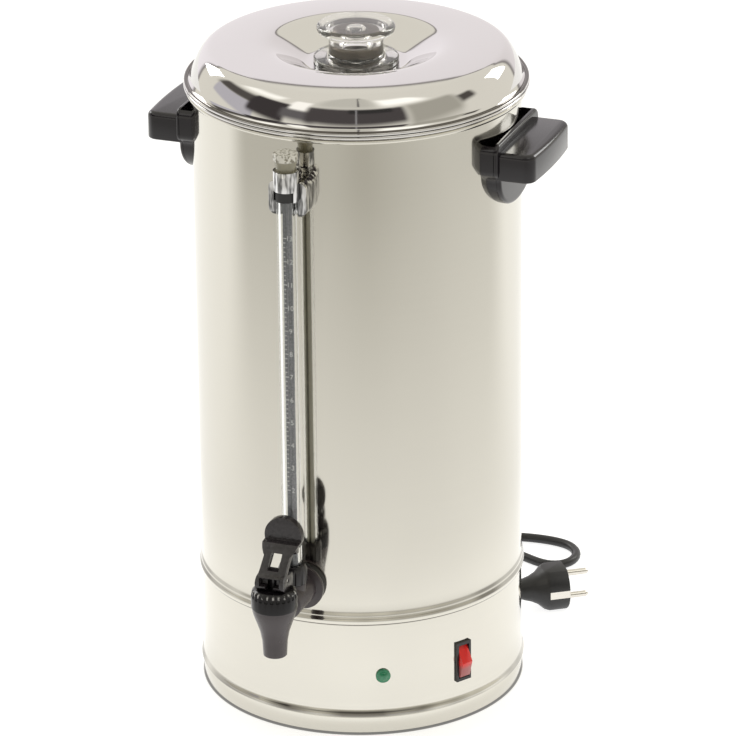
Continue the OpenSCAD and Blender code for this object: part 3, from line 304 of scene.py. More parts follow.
def clear_moulding(name, colour, roughness, ior, milk=0.0):
    """Clear plastic or glass, very slightly uneven, and evenly a little milky by the given amount.
    """
    clear = Finish(name, colour, roughness=roughness, Transmission_Weight=1 - milk, IOR=ior)
    spot, *_ = clear.place()
    slow = clear.noise(spot, 70.0, 2.0)
    clear.set("Roughness", clear.between(slow, roughness * 0.5, roughness * 1.5))
    return clear.material


TANK_STEEL = rolled_steel("satin tank steel", (0.668, 0.647, 0.587), 0.08, 0.02)
LID_STEEL = mirror_steel("buffed lid steel", (0.69, 0.675, 0.665), 0.045)
CHROME = plain_metal("chrome", (0.78, 0.78, 0.79), 0.07)
INNER_STEEL = plain_metal("plain steel", (0.60, 0.59, 0.57), 0.28)
ZINC = plain_metal("plated steel", (0.52, 0.52, 0.53), 0.4)
BRASS = plain_metal("brass", (0.70, 0.50, 0.22), 0.3)
NICKEL = plain_metal("nickel", (0.72, 0.69, 0.64), 0.16)
PHENOLIC = moulding("black phenolic", (0.010, 0.008, 0.011), 0.17)
TAP_BLACK = moulding("black tap plastic", (0.012, 0.010, 0.012), 0.20)
# painted reflection: the spout's black is painted lighter than the rest of the tap, standing in
# for the pale floor it reflects
SPOUT_LIGHTENED = moulding("black spout plastic painted lighter", (0.046, 0.037, 0.040), 0.26)
# painted sheen: the lever's strong mottling stands in for the highlights on its glossy plastic
LEVER_BLACK = moulding("glossy lever plastic", (0.020, 0.017, 0.019), 0.16, 0.0012, 260.0,
                       wear_and_sheen=6.0, spread=330.0)
BEZEL_BLACK = moulding("black switch plastic", (0.012, 0.011, 0.012), 0.25)
RUBBER = moulding("black rubber", (0.018, 0.018, 0.019), 0.55, 0.00006)
LEAD = moulding("black lead", (0.016, 0.016, 0.018), 0.38, 0.00003)
PLUG_BLACK = moulding("black plug rubber", (0.018, 0.018, 0.020), 0.42, 0.00006)
SILICONE = moulding("pale silicone", (0.55, 0.52, 0.48), 0.6)
WHITE_PLASTIC = moulding("white plastic", (0.75, 0.74, 0.70), 0.4)
WIRE = moulding("brown wire", (0.16, 0.06, 0.03), 0.4)
KNOB_CLEAR = clear_moulding("worn clear plastic", (0.98, 0.98, 0.97), 0.03, 1.49, 0.05)
DARK_METAL = plain_metal("dark insert", (0.10, 0.085, 0.07), 0.25)
GLASS = clear_moulding("gauge glass", (0.97, 0.98, 0.98), 0.01, 1.47)
SCALE_WHITE = moulding("white scale paint", (0.8, 0.8, 0.8), 0.5)


def frosted_moulding(name, colour):
    """Clear plastic with a worn, milky skin."""
    worn = Finish(name, colour, roughness=0.2, Transmission_Weight=0.3, IOR=1.49)
    spot, x, y, z = worn.place()
    facets = worn.noise(spot, 420.0, 2.0)
    low = worn.between(z * 1000, 1.0, 0.0, 449.6, 450.4)
    worn.set("Roughness", worn.between(facets, 0.05, 0.3))
    worn.set("Base Color", worn.blend(low, worn.blend(
        worn.between(facets, 0.0, 1.0, 0.40, 0.52), (0.30, 0.28, 0.22), colour),
        (0.33, 0.31, 0.23)))
    return worn.material


def strip_face():
    """The scale strip: dark grey with worn, light streaks down it."""
    face = Finish("scale strip face", (0.15, 0.155, 0.17), roughness=0.4)
    spot, x, y, z = face.place()
    streaks = face.noise(face.vector(x * 1500, 0.0, z * 14), 1.0, 3.0, 0.7)
    specks = face.noise(spot, 700.0, 3.0, 0.7)
    worn = face.between(streaks * 0.65 + specks * 0.35, 0.0, 1.0, 0.44, 0.66)
    face.set("Base Color", face.blend(worn, (0.085, 0.088, 0.10), (0.42, 0.42, 0.44)))
    return face.material


BONNET_RIDGES = 24
BONNET_EDGE = 138.3  # height of the grip's upper edge


def ridged_bonnet():
    """Black plastic with a painted shade that keeps it darker than the spout, and painted glints
    where the ridges of its grip end at the top.
    """
    black = Finish("black bonnet plastic", (0.005, 0.004, 0.005), roughness=0.22,
                   Specular_IOR_Level=0.3)
    spot, x, y, z = black.place()
    # painted glints on the ridge tops, standing in for their highlights
    ridge = (black.between(((y - TAP_Y * MM).angle_to(x) * BONNET_RIDGES).sine(),
                           0.0, 1.0, -0.1, 0.9)
             * black.between((z * 1000 - BONNET_EDGE).size(), 1.0, 0.0, 0.7, 1.7, smooth=True)
             * black.between(black.noise(spot, 260.0), 0.0, 1.0, 0.47, 0.60))
    black.set("Base Color", black.blend(ridge, (0.005, 0.004, 0.005), (0.42, 0.41, 0.41)))
    return black.material


def strip_back():
    """The strip's pale back, with a dark line down its middle."""
    back = Finish("scale strip back", (0.62, 0.60, 0.53), roughness=0.5)
    spot, x, y, z = back.place()
    back.set("Base Color", back.blend(
        back.between((x * 1000 + 0.6).size(), 1.0, 0.0, 0.5, 1.6, smooth=True),
        (0.70, 0.68, 0.60), (0.10, 0.095, 0.07)))
    return back.material


def cast_chrome():
    """Chrome over a rough casting: bright, with painted dark reflections in uneven streaks and
    painted shade along its bottom edge.
    """
    chrome = Finish("chromed casting", (0.80, 0.80, 0.81), metallic=1.0, roughness=0.06)
    spot, x, y, z = chrome.place()
    streaks = chrome.noise(chrome.vector(x * 330, y * 330, z * 60), 1.0, 2.0)
    # painted shade along the bottom edge, and painted dark reflections in streaks
    edge = chrome.between(z * 1000, 1.0, 0.0, 408.9, 410.1)
    dark = edge + chrome.between(streaks, 0.9, 0.0, 0.40, 0.54)
    chrome.set("Base Color", chrome.blend(dark, (0.80, 0.80, 0.81), (0.10, 0.10, 0.10)))
    chrome.bump(chrome.noise(chrome.vector(x * 90, y * 90, z * 40), 1.0, 1.0), 0.004, 0.5)
    return chrome.material


def lens_green():
    """Deep green lens, lighter and darker in small random patches."""
    lens = Finish("green lens", (0.0, 0.10, 0.05), roughness=0.12, Coat_Weight=0.6)
    spot, *_ = lens.place()
    lens.set("Base Color", lens.blend(lens.noise(spot, 500.0, 2.0), (0.0, 0.10, 0.04),
                                      (0.01, 0.26, 0.11)))
    lens.bump(lens.noise(spot, 900.0, 1.0), 0.0001, 0.3)
    return lens.material


def rocker_red():
    red = Finish("red rocker plastic", (0.62, 0.012, 0.010), roughness=0.16, Coat_Weight=0.3)
    spot, x, y, z = red.place()
    lit = red.blend(red.noise(spot, 120.0, 2.0), (0.50, 0.008, 0.008), (0.80, 0.02, 0.015))
    # painted light: the lower face of the rocker, tilted another way, is painted duller and pinker
    low = red.between(z * 1000, 1.0, 0.0, 41.5, 46.5, smooth=True)
    red.set("Base Color", red.blend(low, lit, (0.36, 0.09, 0.09)))
    return red.material


FROSTED = frosted_moulding("milky clear plastic", (0.93, 0.91, 0.84))
SCALE = strip_face()
BONNET_BLACK = ridged_bonnet()
STRIP_BACK = strip_back()
CAST_CHROME = cast_chrome()
LENS_GREEN = lens_green()
ROCKER_RED = rocker_red()

# ---- ways to shape a piece ----------------------------------------------


def arc(cx, cy, r, start, stop, n):
    """Points on a circle from start to stop, in degrees."""
    turns = [math.radians(start + (stop - start) * i / n) for i in range(n + 1)]
    return [(cx + r * math.cos(t), cy + r * math.sin(t)) for t in turns]


def curve(a, b, c, d, n):
    """Points on a curve with four control points."""
    spots = []
    for i in range(n + 1):
        t = i / n
        u = 1 - t
        k = (u * u * u, 3 * u * u * t, 3 * u * t * t, t * t * t)
        spots.append(tuple(sum(w * p[j] for w, p in zip(k, (a, b, c, d))) for j in range(2)))
    return spots


def bulge(r, z, width, height, n=16):
    """A rounded bead that stands out from radius r."""
    return [(r + height * math.sin(math.pi * i / n), z + width * i / n) for i in range(n + 1)]


def turned(line, steps):
    """A lathe shape from a closed line of (radius, height) points."""
    bm = bmesh.new()
    spots = [bm.verts.new((r, 0, z)) for r, z in line]
    joins = [bm.edges.new(pair) for pair in zip(spots, spots[1:] + spots[:1])]
    bmesh.ops.spin(bm, geom=spots + joins, axis=(0, 0, 1), cent=(0, 0, 0),
                   angle=2 * math.pi, steps=steps, use_merge=True)
    bmesh.ops.remove_doubles(bm, verts=bm.verts, dist=0.002)
    bmesh.ops.recalc_face_normals(bm, faces=bm.faces)
    return bm


def slab(outline, low, high):
    """A flat outline in X and Y, pulled up from low to high."""
    bm = bmesh.new()
    face = bm.faces.new([bm.verts.new((x, y, low)) for x, y in outline])
    pulled = bmesh.ops.extrude_face_region(bm, geom=[face])
    moved = [v for v in pulled["geom"] if isinstance(v, bmesh.types.BMVert)]
    bmesh.ops.translate(bm, verts=moved, vec=(0, 0, high - low))
    bmesh.ops.recalc_face_normals(bm, faces=bm.faces)
    return bm


def copied(node):
    """A merged copy of a solid, in millimetres, with flat faces joined again."""
    bm = bmesh.new()
    bm.from_mesh(NODES[node].data)
    bmesh.ops.scale(bm, vec=(1000, 1000, 1000), verts=bm.verts)
    bmesh.ops.remove_doubles(bm, verts=bm.verts, dist=0.004)
    bmesh.ops.dissolve_limit(bm, angle_limit=math.radians(1.5), verts=bm.verts, edges=bm.edges)
    return bm


def round_edges(bm, width, angle=30, segments=2):
    """Rounds every edge that is sharper than the angle."""
    sharp = [e for e in bm.edges if e.is_manifold and e.calc_face_angle(0) > math.radians(angle)]
    bmesh.ops.bevel(bm, geom=sharp, offset=width, offset_type="OFFSET", affect="EDGES",
                    segments=segments, profile=0.5, material=-1, clamp_overlap=True)


def made(bm, name, finish, body="base", swaps=(), at=None, crease=32, slot=None):
    """Turns a shape in millimetres into a finished piece that rides its body."""
    if at is not None:
        bmesh.ops.transform(bm, matrix=at, verts=bm.verts)
    bmesh.ops.scale(bm, vec=(MM, MM, MM), verts=bm.verts)
    for face in bm.faces:
        face.smooth = True
    for edge in bm.edges:
        edge.smooth = not (edge.is_manifold and edge.calc_face_angle(0) > math.radians(crease))
    mesh = bpy.data.meshes.new(name)
    bm.to_mesh(mesh)
    bm.free()
    piece = bpy.data.objects.new(name, mesh)
    bpy.context.scene.collection.objects.link(piece)
    mesh.materials.append(finish)
    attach(piece, body)
    if swaps:
        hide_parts(*swaps)
    return piece


def dress(finish, *nodes):
    """Gives solids from the frame their finish."""
    for node in nodes:
        mesh = NODES[node].data
        mesh.materials.clear()
        mesh.materials.append(finish)


def on_wall(azimuth, height):
    """Where a piece sits on the wall: its +Z faces out and its +Y up."""
    return (Matrix.Rotation(math.radians(azimuth), 4, "Z")
            @ Matrix.Translation((0, -TANK_R, height)) @ Matrix.Rotation(math.pi / 2, 4, "X"))


# ---- mains lead ---------------------------------------------------------

LEAD_WAY = [
    (0, 146.5, 47), (0, 158, 45.5), (-0.5, 171, 40.5), (-1, 184, 32.5), (-1, 196, 24.5),
    (0, 207, 16.8), (3, 218, 12.5), (9, 229, 8.5), (18, 238, 5), (30, 243.5, 3.7),
    (44, 247, 3.6), (57, 248, 3.6), (69, 247.5, 3.6), (81.2, 244.2, 3.6),
    (90.2, 235.2, 3.6), (93.5, 223, 3.6), (90.8, 212, 3.6), (83.5, 205, 3.6),
    (73.5, 204, 3.6), (62, 208.5, 3.6), (48, 215.5, 3.6), (32, 220.5, 3.6),
    (15, 221.8, 3.6), (-5, 218.5, 3.6), (-25, 211.5, 3.6), (-45, 204.5, 3.6), (-60, 200.7, 3.6),
]
END_WAY = [
    (-60, 122.6, 16.5), (-45, 123, 12.5), (-30, 125, 7),
    (-15, 127, 3.8), (5, 127.5, 3.6), (25, 123.5, 3.6), (35, 120, 4.2),
    (44.3, 117.3, 6.5), (52, 116.2, 9.8), (59, 116.8, 13.2), (69.1, 121, 16),
]
COIL_MIDDLE = (-75, 161)
COIL_TURNS = 4.5


def ease(t):
    t = min(1.0, max(0.0, t))
    return t * t * (3 - 2 * t)


COIL_OUTSIDE = 38.4
COIL_STEP = 7.1  # from an outside turn to the one inside it
LEAD_ON_FLOOR = 3.6
LEAD_LAYER = 6.95


def coil_way():
    """Turns outside, inside, inside on top, outside on top, then half a turn over them."""
    way = []
    steps = 16
    for i in range(int(COIL_TURNS * steps) + 1):
        done = i / steps
        angle = math.radians(90 + 360 * done)
        inward = ease((done - 0.85) / 0.3) - ease((done - 2.85) / 0.3)
        rise = ease((done - 1.85) / 0.3) + ease((done - 3.85) / 0.3)
        radius = COIL_OUTSIDE - COIL_STEP * inward
        way.append((COIL_MIDDLE[0] + radius * math.cos(angle),
                    COIL_MIDDLE[1] + radius * math.sin(angle),
                    LEAD_ON_FLOOR + LEAD_LAYER * rise))
    return way


def lay_lead():
    way = LEAD_WAY + coil_way() + END_WAY
    data = bpy.data.curves.new("mains_lead", "CURVE")
    data.dimensions = "3D"
    line = data.splines.new("NURBS")
    line.points.add(len(way) - 1)
    for point, (x, y, z) in zip(line.points, way):
        point.co = (x * MM, y * MM, z * MM, 1)
    line.order_u = 4
    line.use_endpoint_u = True
    line.resolution_u = 3
    data.bevel_depth = 0.0035
    data.bevel_resolution = 5
    data.use_fill_caps = True
    lead = bpy.data.objects.new("mains_lead", data)
    bpy.context.scene.collection.objects.link(lead)
    data.materials.append(LEAD)
    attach(lead, "base")
    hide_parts("cord_lead", "cord_coil", "cord_end")
    return lead


mains_lead = lay_lead()


def shape_plug():
    bm = copied("plug_body")
    round_edges(bm, 0.6, angle=34, segments=2)
    return made(bm, "plug_shell", PLUG_BLACK, swaps=["plug_body"], slot="rubber")


plug_shell = shape_plug()

# ---- tank and base ------------------------------------------------------


# how far the rolled beads stand out past the wall, and their height over the joint
SEAM_BEAD = [(1.1, 0), (1.7, 1.1), (1.88, 2.4), (1.78, 3.7), (1.35, 4.7), (1.0, 5.7), (0.88, 6.6),
             (0.76, 7.6), (0.42, 8.6), (0.15, 9.8), (0, 11), (0, 16)]
FOOT_BEAD = [(0.9, 0), (1.6, 0.5), (1.85, 1.3), (1.8, 2.1), (1.5, 3), (1.05, 4.1), (0.6, 5.2),
             (0.32, 6.2), (0.25, 7.5), (0.2, 9), (0.05, 10.4), (0, 11.4), (0, 26)]
SWITCH_WINDOW = (11.2, 28.1)  # width and height, under the bezel


def shape_tank():
    """The double bead over the seam, the wall, the rolled rim, and the floor with its well."""
    line = [(TANK_R + out, SEAM_Z + up) for out, up in SEAM_BEAD] + [(TANK_R, RIM_Z - 5.6)]
    line += arc(TANK_R + 2, RIM_Z, 2.3, 209.6, 505, 24)
    line += [(TANK_IN, RIM_Z + 1), (TANK_IN, RIM_Z - 6.6), (TANK_IN, FLOOR_Z + 3),
             (TANK_IN - 0.9, FLOOR_Z + 0.9), (TANK_IN - 3, FLOOR_Z), (WELL_R + 2, FLOOR_Z),
             (WELL_R, FLOOR_Z - 2), (WELL_R, WELL_Z + 2), (WELL_R - 2, WELL_Z), (0, WELL_Z)]
    line += [(0, WELL_Z - 1), (WELL_R - 1.6, WELL_Z - 1), (WELL_R + 1, WELL_Z + 1.6),
             (WELL_R + 1, FLOOR_Z - 2), (WELL_R + 2, FLOOR_Z - 1), (TANK_IN - 1, FLOOR_Z - 1),
             (TANK_IN, FLOOR_Z - 2), (TANK_IN, SEAM_Z)]
    made(turned(line, SMOOTH_ROUND), "tank", TANK_STEEL, swaps=["tank_shell"], slot="tank")


def open_window(bm, azimuth, height, wide, tall):
    """Cuts a four-sided hole through the wall and closes its edge."""
    turn = math.radians(azimuth)
    out = Vector((math.sin(turn), -math.cos(turn), 0))
    along = Vector((math.cos(turn), math.sin(turn), 0))
    up = Vector((0, 0, 1))
    middle = up * height
    for way, half in ((along, wide / 2), (up, tall / 2)):
        for side in (-half, half):
            bmesh.ops.bisect_plane(bm, geom=bm.verts[:] + bm.edges[:] + bm.faces[:],
                                   plane_co=middle + way * side, plane_no=way, dist=0.002)
    inside = []
    for face in bm.faces:
        spot = face.calc_center_median() - middle
        if spot.dot(out) > 0 and abs(spot.dot(along)) < wide / 2 and abs(spot.z) < tall / 2:
            inside.append(face)
    bmesh.ops.delete(bm, geom=inside, context="FACES")
    bmesh.ops.bridge_loops(bm, edges=[e for e in bm.edges if e.is_boundary])
    bmesh.ops.recalc_face_normals(bm, faces=bm.faces)


def shape_skirt():
    line = [(TANK_R + out, RING_TOP + up) for out, up in FOOT_BEAD]
    line += [(TANK_R, SEAM_Z - 1.4), (TANK_R, SEAM_Z - 0.8), (TANK_R - 0.2, SEAM_Z),
             (TANK_IN, SEAM_Z)]
    line += list(reversed(bulge(TANK_IN, RING_TOP, 10.5, 1.3)))
    skirt = turned(line, SMOOTH_ROUND)
    open_window(skirt, SWITCH_AZ, PANEL_Z, *SWITCH_WINDOW)
    made(skirt, "skirt", TANK_STEEL, swaps=["base_skirt"], slot="tank")


def shape_ring():
    """The bottom ring, with the inner lip that carries the bottom plate."""
    foot, inside, lip, lip_low, lip_high = 1.5, TANK_R - 1.6, TANK_R - 14, 5, 6.5
    line = [(TANK_R - 0.3, foot), (TANK_R + 0.1, foot + 0.2), (TANK_R + 0.3, foot + 0.6),
            (TANK_R + 0.3, RING_TOP - 0.6), (TANK_R + 0.15, RING_TOP - 0.2),
            (TANK_R - 0.2, RING_TOP), (inside, RING_TOP), (inside, lip_high), (lip, lip_high),
            (lip, lip_low), (inside, lip_low), (inside, foot)]
    made(turned(line, SMOOTH_ROUND), "base_ring", TANK_STEEL, swaps=["bottom_ring"], slot="tank")


shape_tank()
shape_skirt()
shape_ring()

# ---- lid and knob -------------------------------------------------------

LID_BORE = 11.2  # hole for the knob's spigot
LID_SIDE_FROM = 465.6  # height over the two beads at the rim
COLLAR_R = 116.3
COLLAR_LOW = 448
KNOB_FOOT_R = 30.5
KNOB_NECK_R = 19.5
KNOB_R = 28
KNOB_SPIGOT_R = 11


def lid_line():
    """The lid's outside from the foot of its side to the flat middle."""
    side = curve((119.8, LID_FOOT), (116.5, LID_FOOT + 12), (112, LID_TOP - 3.2),
                 (104, LID_TOP - 1.9), 18)
    crown = curve((104, LID_TOP - 1.9), (95.8, LID_TOP - 0.7), (84, LID_TOP), (75, LID_TOP), 12)
    edge = curve((75, LID_TOP), (67, LID_TOP), (63, LID_TOP - 0.6), (58, LID_TOP - 3.1), 10)
    bowl = curve((58, LID_TOP - 3.1), (41, LID_TOP - 11.1), (39, DISH_Z), (34, DISH_Z), 10)
    return side + crown[1:] + edge[1:] + bowl[1:] + [(LID_BORE, DISH_Z)]


def shape_lid():
    outer = [spot for spot in lid_line() if spot[1] > LID_SIDE_FROM]
    beads = arc(121.8, 464.2, 1.4, 140, -66, 14) + arc(122.2, 461.75, 1.25, 66, -150, 16)
    collar = [(COLLAR_R, 462.2), (COLLAR_R, COLLAR_LOW), (COLLAR_R - 0.8, COLLAR_LOW),
              (COLLAR_R - 0.8, 463.4)]
    under = [(r - 0.35, z - 0.75) for r, z in outer[1:-1]] + [(LID_BORE, DISH_Z - 0.8)]
    line = list(reversed(outer)) + beads + collar + under
    made(turned(line, SMOOTH_ROUND), "lid", LID_STEEL, body="lid",
         swaps=["lid_shell", "lid_middle"], crease=50, slot="bright")


def shape_knob():
    """The clear knob round a dark core, from its spigot up over the foot and neck to the top."""
    foot, neck, top, core = KNOB_FOOT_R, KNOB_NECK_R, KNOB_R, 8.4
    line = [(8, -6.8), (KNOB_SPIGOT_R, -6.8), (KNOB_SPIGOT_R, 0.12), (foot - 0.5, 0.12),
            (foot, 0.6)]
    line += arc(foot - 1.2, 3.3, 1.2, 0, 90, 4) + [(22, 4.6)]
    line += curve((22, 4.6), (neck + 0.5, 5.0), (neck, 6), (neck, 8), 5)
    line += curve((neck, 17), (neck, 20.5), (neck + 1, 22), (23, 22.3), 5)
    line += curve((26.2, 22.6), (top - 0.1, 22.8), (top, 24.3), (top, 25.6), 5)
    line += curve((top - 0.1, 26.4), (top - 0.6, 27.6), (26, 28), (24, 28), 4)
    line += [(0, 28.1), (0, 21.2), (6, 19.4), (8, 16)]
    insert = [(core, 4.6), (15, 4.6), (16.2, 6), (16.2, 11.5), (14.5, 13), (core, 13)]
    seat = Matrix.Translation((0, 0, DISH_Z))
    made(turned(insert, 64), "knob_core", DARK_METAL, body="lid", at=seat, slot="bright")
    made(turned(line, 96), "clear_knob", KNOB_CLEAR, body="lid", swaps=["lid_knob"], at=seat,
         crease=40, slot="clear")


shape_lid()
shape_knob()

# ---- handles ------------------------------------------------------------

GRIP_TOP = 434.5
GRIP_LOW = 415
GRIP_ROUND = 4
GRIP_HALF = 42  # half of its length
GRIP_CORNER = 8
GRIP_FRONT = 147
GRIP_BOW = 1.5
PLATE_TOP = 440.5
PLATE_HALF = 45.5
PLATE_BASE = TANK_R - 10  # where the plate's own drawing has its zero
LOBE_HALF = 39
LOBE_Z = 412
LOBE_DROP = 26.5
JOIN_HALF = 42.3  # the open top of what joins the plate to the tank
JOIN_TOP = 439.38
JOIN_LOW = 418


def grip_outline():
    """The grip seen from above: round corners and a slightly bowed front."""
    flat = GRIP_HALF - GRIP_CORNER
    corner = arc(GRIP_FRONT - GRIP_CORNER, -flat, GRIP_CORNER, -90, 0, 10)
    bow = [(GRIP_FRONT + GRIP_BOW * (1 - (y / flat) ** 2), y) for y in range(5 - flat, 1, 5)]
    half = [(TANK_R + 0.9, -GRIP_HALF)] + corner + bow
    return half + [(GRIP_FRONT + GRIP_BOW, 0)] + [(x, -y) for x, y in reversed(half)]


def plate_outline(n=26):
    """The back plate: a wide bar above a rounded lobe, as (Y, Z) points."""
    half = arc(PLATE_HALF - 7, PLATE_TOP - 7, 7, 90, 0, 10)
    half += [(PLATE_HALF, 421.5), (45.3, 419.6), (44.5, 417.9), (43, 416.4), (41, 415),
             (39.7, 413.6)]
    half += [(LOBE_HALF * math.cos(t), LOBE_Z - LOBE_DROP * math.sin(t))
             for t in [math.radians(2 + 88 * i / n) for i in range(n + 1)]]
    return half + [(-y, z) for y, z in reversed(half[:-1])]


def collar_outline():
    """What joins the plate to the tank: the same outline, open at the top."""
    line = [(y, z) for y, z in plate_outline() if abs(y) > JOIN_HALF or z < 430]
    return [(JOIN_HALF, JOIN_TOP), *line, (-JOIN_HALF, JOIN_TOP), (-JOIN_HALF, JOIN_LOW),
            (JOIN_HALF, JOIN_LOW)]


def merged(first, second):
    """Adds the second shape to the first and frees it."""
    mesh = bpy.data.meshes.new("merged")
    second.to_mesh(mesh)
    second.free()
    first.from_mesh(mesh)
    bpy.data.meshes.remove(mesh)


def shape_grip():
    """A bar with a round upper edge in six steps, open below for the fingers."""
    grip = slab(grip_outline(), GRIP_LOW, GRIP_TOP - GRIP_ROUND)
    top = [f for f in grip.faces if f.normal.z > 0.9]
    for turn in range(6):
        low, high = math.radians(15 * turn), math.radians(15 * (turn + 1))
        bmesh.ops.inset_region(grip, faces=top, use_even_offset=True,
                               thickness=GRIP_ROUND * (math.cos(low) - math.cos(high)),
                               depth=GRIP_ROUND * (math.sin(high) - math.sin(low)))
    floor = [f for f in grip.faces if f.normal.z < -0.9]
    for ring, drop in ((0.25, 0.5), (0.75, 0.5), (0.75, -0.15), (2.25, -0.35)):
        bmesh.ops.inset_region(grip, faces=floor, thickness=ring, depth=drop,
                               use_even_offset=True)
    hollow = bmesh.ops.extrude_face_region(grip, geom=floor)
    bmesh.ops.delete(grip, geom=floor, context="FACES_ONLY")
    moved = [v for v in hollow["geom"] if isinstance(v, bmesh.types.BMVert)]
    bmesh.ops.translate(grip, verts=moved, vec=(0, 0, 16))
    bmesh.ops.recalc_face_normals(grip, faces=grip.faces)
    return grip


def shape_plate():
    """The plate and its collar, the collar cut to the curve of the tank."""
    plate = slab(plate_outline(), 10.8, 12)
    front = [f for f in plate.faces if f.normal.z > 0.9]
    for ring, rise in ((0.25, 0.75), (0.45, 0.6), (0.6, 0.4), (0.8, 0.2), (1.0, 0.05)):
        bmesh.ops.inset_region(plate, faces=front, thickness=ring, depth=rise,
                               use_even_offset=True)
    collar = slab(collar_outline(), 0, 11.2)
    for cut in range(-44, 45, 4):
        bmesh.ops.bisect_plane(collar, geom=collar.verts[:] + collar.edges[:] + collar.faces[:],
                               plane_co=(cut, 0, 0), plane_no=(1, 0, 0), dist=0.01)
    for v in collar.verts:
        if v.co.z < 1:
            v.co.z = math.sqrt((TANK_R + 0.06) ** 2 - v.co.x ** 2) - PLATE_BASE
    bmesh.ops.recalc_face_normals(collar, faces=collar.faces)
    merged(plate, collar)
    turn = Matrix(((0, 0, 1, PLATE_BASE), (1, 0, 0, 0), (0, 1, 0, 0), (0, 0, 0, 1)))
    bmesh.ops.transform(plate, matrix=turn, verts=plate.verts)
    return plate


def shape_handle(side):
    """Grip, plate and two screw bosses. The left one is the right one's mirror."""
    grip = shape_grip()
    merged(grip, shape_plate())
    for y in (-24, 24):
        boss = turned([(0, 0), (6, 0), (6, 12.6), (5.6, 13), (3.6, 13), (3.6, 4), (0, 4)], 32)
        spot = Matrix.Translation((121, y, 424.5)) @ Matrix.Rotation(math.pi / 2, 4, "Y")
        bmesh.ops.transform(boss, matrix=spot, verts=boss.verts)
        merged(grip, boss)
    if side == "left":
        bmesh.ops.scale(grip, vec=(-1, 1, 1), verts=grip.verts)
        bmesh.ops.reverse_faces(grip, faces=grip.faces)
    made(grip, "handle_grip_" + side, PHENOLIC, swaps=["handle_" + side], crease=34,
         slot="black_plastic")


shape_handle("left")
shape_handle("right")

# ---- tap ----------------------------------------------------------------


LEVER_WINDOW_TOP = 162


def shape_lever():
    """The lever with its window a little taller and its edges rounded."""
    bm = copied("tap_lever")
    for v in bm.verts:
        if abs(v.co.x) < 4.5 and abs(v.co.z - LEVER_WINDOW_TOP) < 0.5:
            v.co.z += 2.2
    round_edges(bm, 0.9, angle=24, segments=3)
    made(bm, "lever", LEVER_BLACK, body="lever", swaps=["tap_lever"], crease=40,
         slot="black_plastic")


def softened(node, finish, slot, width=0.5, angle=24, segments=2, rim=None):
    """A solid's shape with its sharp edges rounded, and a rim pulled out to a radius."""
    bm = copied(node)
    for v in bm.verts:
        far = math.hypot(v.co.x, v.co.y - TAP_Y)
        if rim and abs(v.co.z - rim[0]) < 0.12 and rim[1] - 1.2 < far < rim[1]:
            v.co.x *= rim[1] / far
            v.co.y = (v.co.y - TAP_Y) * rim[1] / far + TAP_Y
    round_edges(bm, width, angle, segments)
    made(bm, node + "_rounded", finish, swaps=[node], crease=40, slot=slot)


shape_lever()
softened("tap_body", SPOUT_LIGHTENED, "black_plastic", 0.6, 30, rim=(125.5, 16.2))
softened("tap_bonnet", BONNET_BLACK, "black_plastic", 0.3, 30, rim=(125.6, 16.4))
softened("gauge_union_nut", TAP_BLACK, "black_plastic", 0.4, 30)
softened("gauge_bracket", CAST_CHROME, "bright", 0.8, 30, 3)
softened("gauge_cap", FROSTED, "clear", 0.4, 20)

# ---- sight gauge --------------------------------------------------------


STRIP_FRONT_Y = -138.7
FACE_Y = (-139, -138.45)  # from front to back
BACK_Y = (-138.45, -137)
MARKS_FROM = 200  # height of the lowest mark
TICK_STEP = 3.48
NUMBER_STEP = 17.4
FIRST_NUMBER = 2


def shape_strip():
    """The scale strip: its worn face in front and its pale back."""
    for name, finish, (front, back), swaps in (
            ("scale_face", SCALE, FACE_Y, ["gauge_scale"]),
            ("scale_back", STRIP_BACK, BACK_Y, [])):
        bm = copied("gauge_scale")
        for v in bm.verts:
            v.co.y = min(max(v.co.y, front), back)
        made(bm, name, finish, swaps=swaps, slot="scale")


def scale_marks():
    """Ticks and plain numbers on the scale strip."""
    ticks = bmesh.new()
    for i in range(56):
        z = MARKS_FROM + TICK_STEP * i
        side = -0.9 if i % 5 == 0 else -1.9
        bm = slab([(-3.3, -0.3), (side, -0.3), (side, 0.3), (-3.3, 0.3)], 0, 0.15)
        bmesh.ops.transform(bm, matrix=Matrix.Translation((0, STRIP_FRONT_Y, z))
                            @ Matrix.Rotation(math.pi / 2, 4, "X"), verts=bm.verts)
        merged(ticks, bm)
    made(ticks, "scale_ticks", SCALE_WHITE, slot="scale")
    for i in range(12):
        z = MARKS_FROM + NUMBER_STEP * i
        data = bpy.data.curves.new("number", "FONT")
        data.body = str(i + FIRST_NUMBER)
        data.size = 0.0052
        data.extrude = 0.00006
        data.align_x = "CENTER"
        data.align_y = "CENTER"
        holder = bpy.data.objects.new("number", data)
        bpy.context.scene.collection.objects.link(holder)
        bpy.context.view_layer.update()
        mesh = bpy.data.meshes.new_from_object(holder)
        bpy.data.objects.remove(holder)
        mesh.transform(Matrix.Translation((0.0013, -0.13885, z * MM))
                       @ Matrix.Rotation(math.pi / 2, 4, "X"))
        piece = bpy.data.objects.new(f"scale_number_{i}", mesh)
        bpy.context.scene.collection.objects.link(piece)
        mesh.materials.clear()
        mesh.materials.append(SCALE_WHITE)
        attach(piece, "base")


shape_strip()
scale_marks()

# ---- lamp and switch ----------------------------------------------------


def shape_lens():
    """A domed lens with a rim that lies on the base."""
    line = [(0, 0.15), (5.4, 0.15), (5.4, 1.1), (5.1, 1.5), (4.6, 1.7), (4.2, 1.7)]
    line += arc(0, -0.9, 4.5, 42, 90, 8)
    made(turned(line, 48), "lamp_window", LENS_GREEN, swaps=["lamp_lens"],
         at=on_wall(LAMP_AZ, PANEL_Z), slot="green_lens")


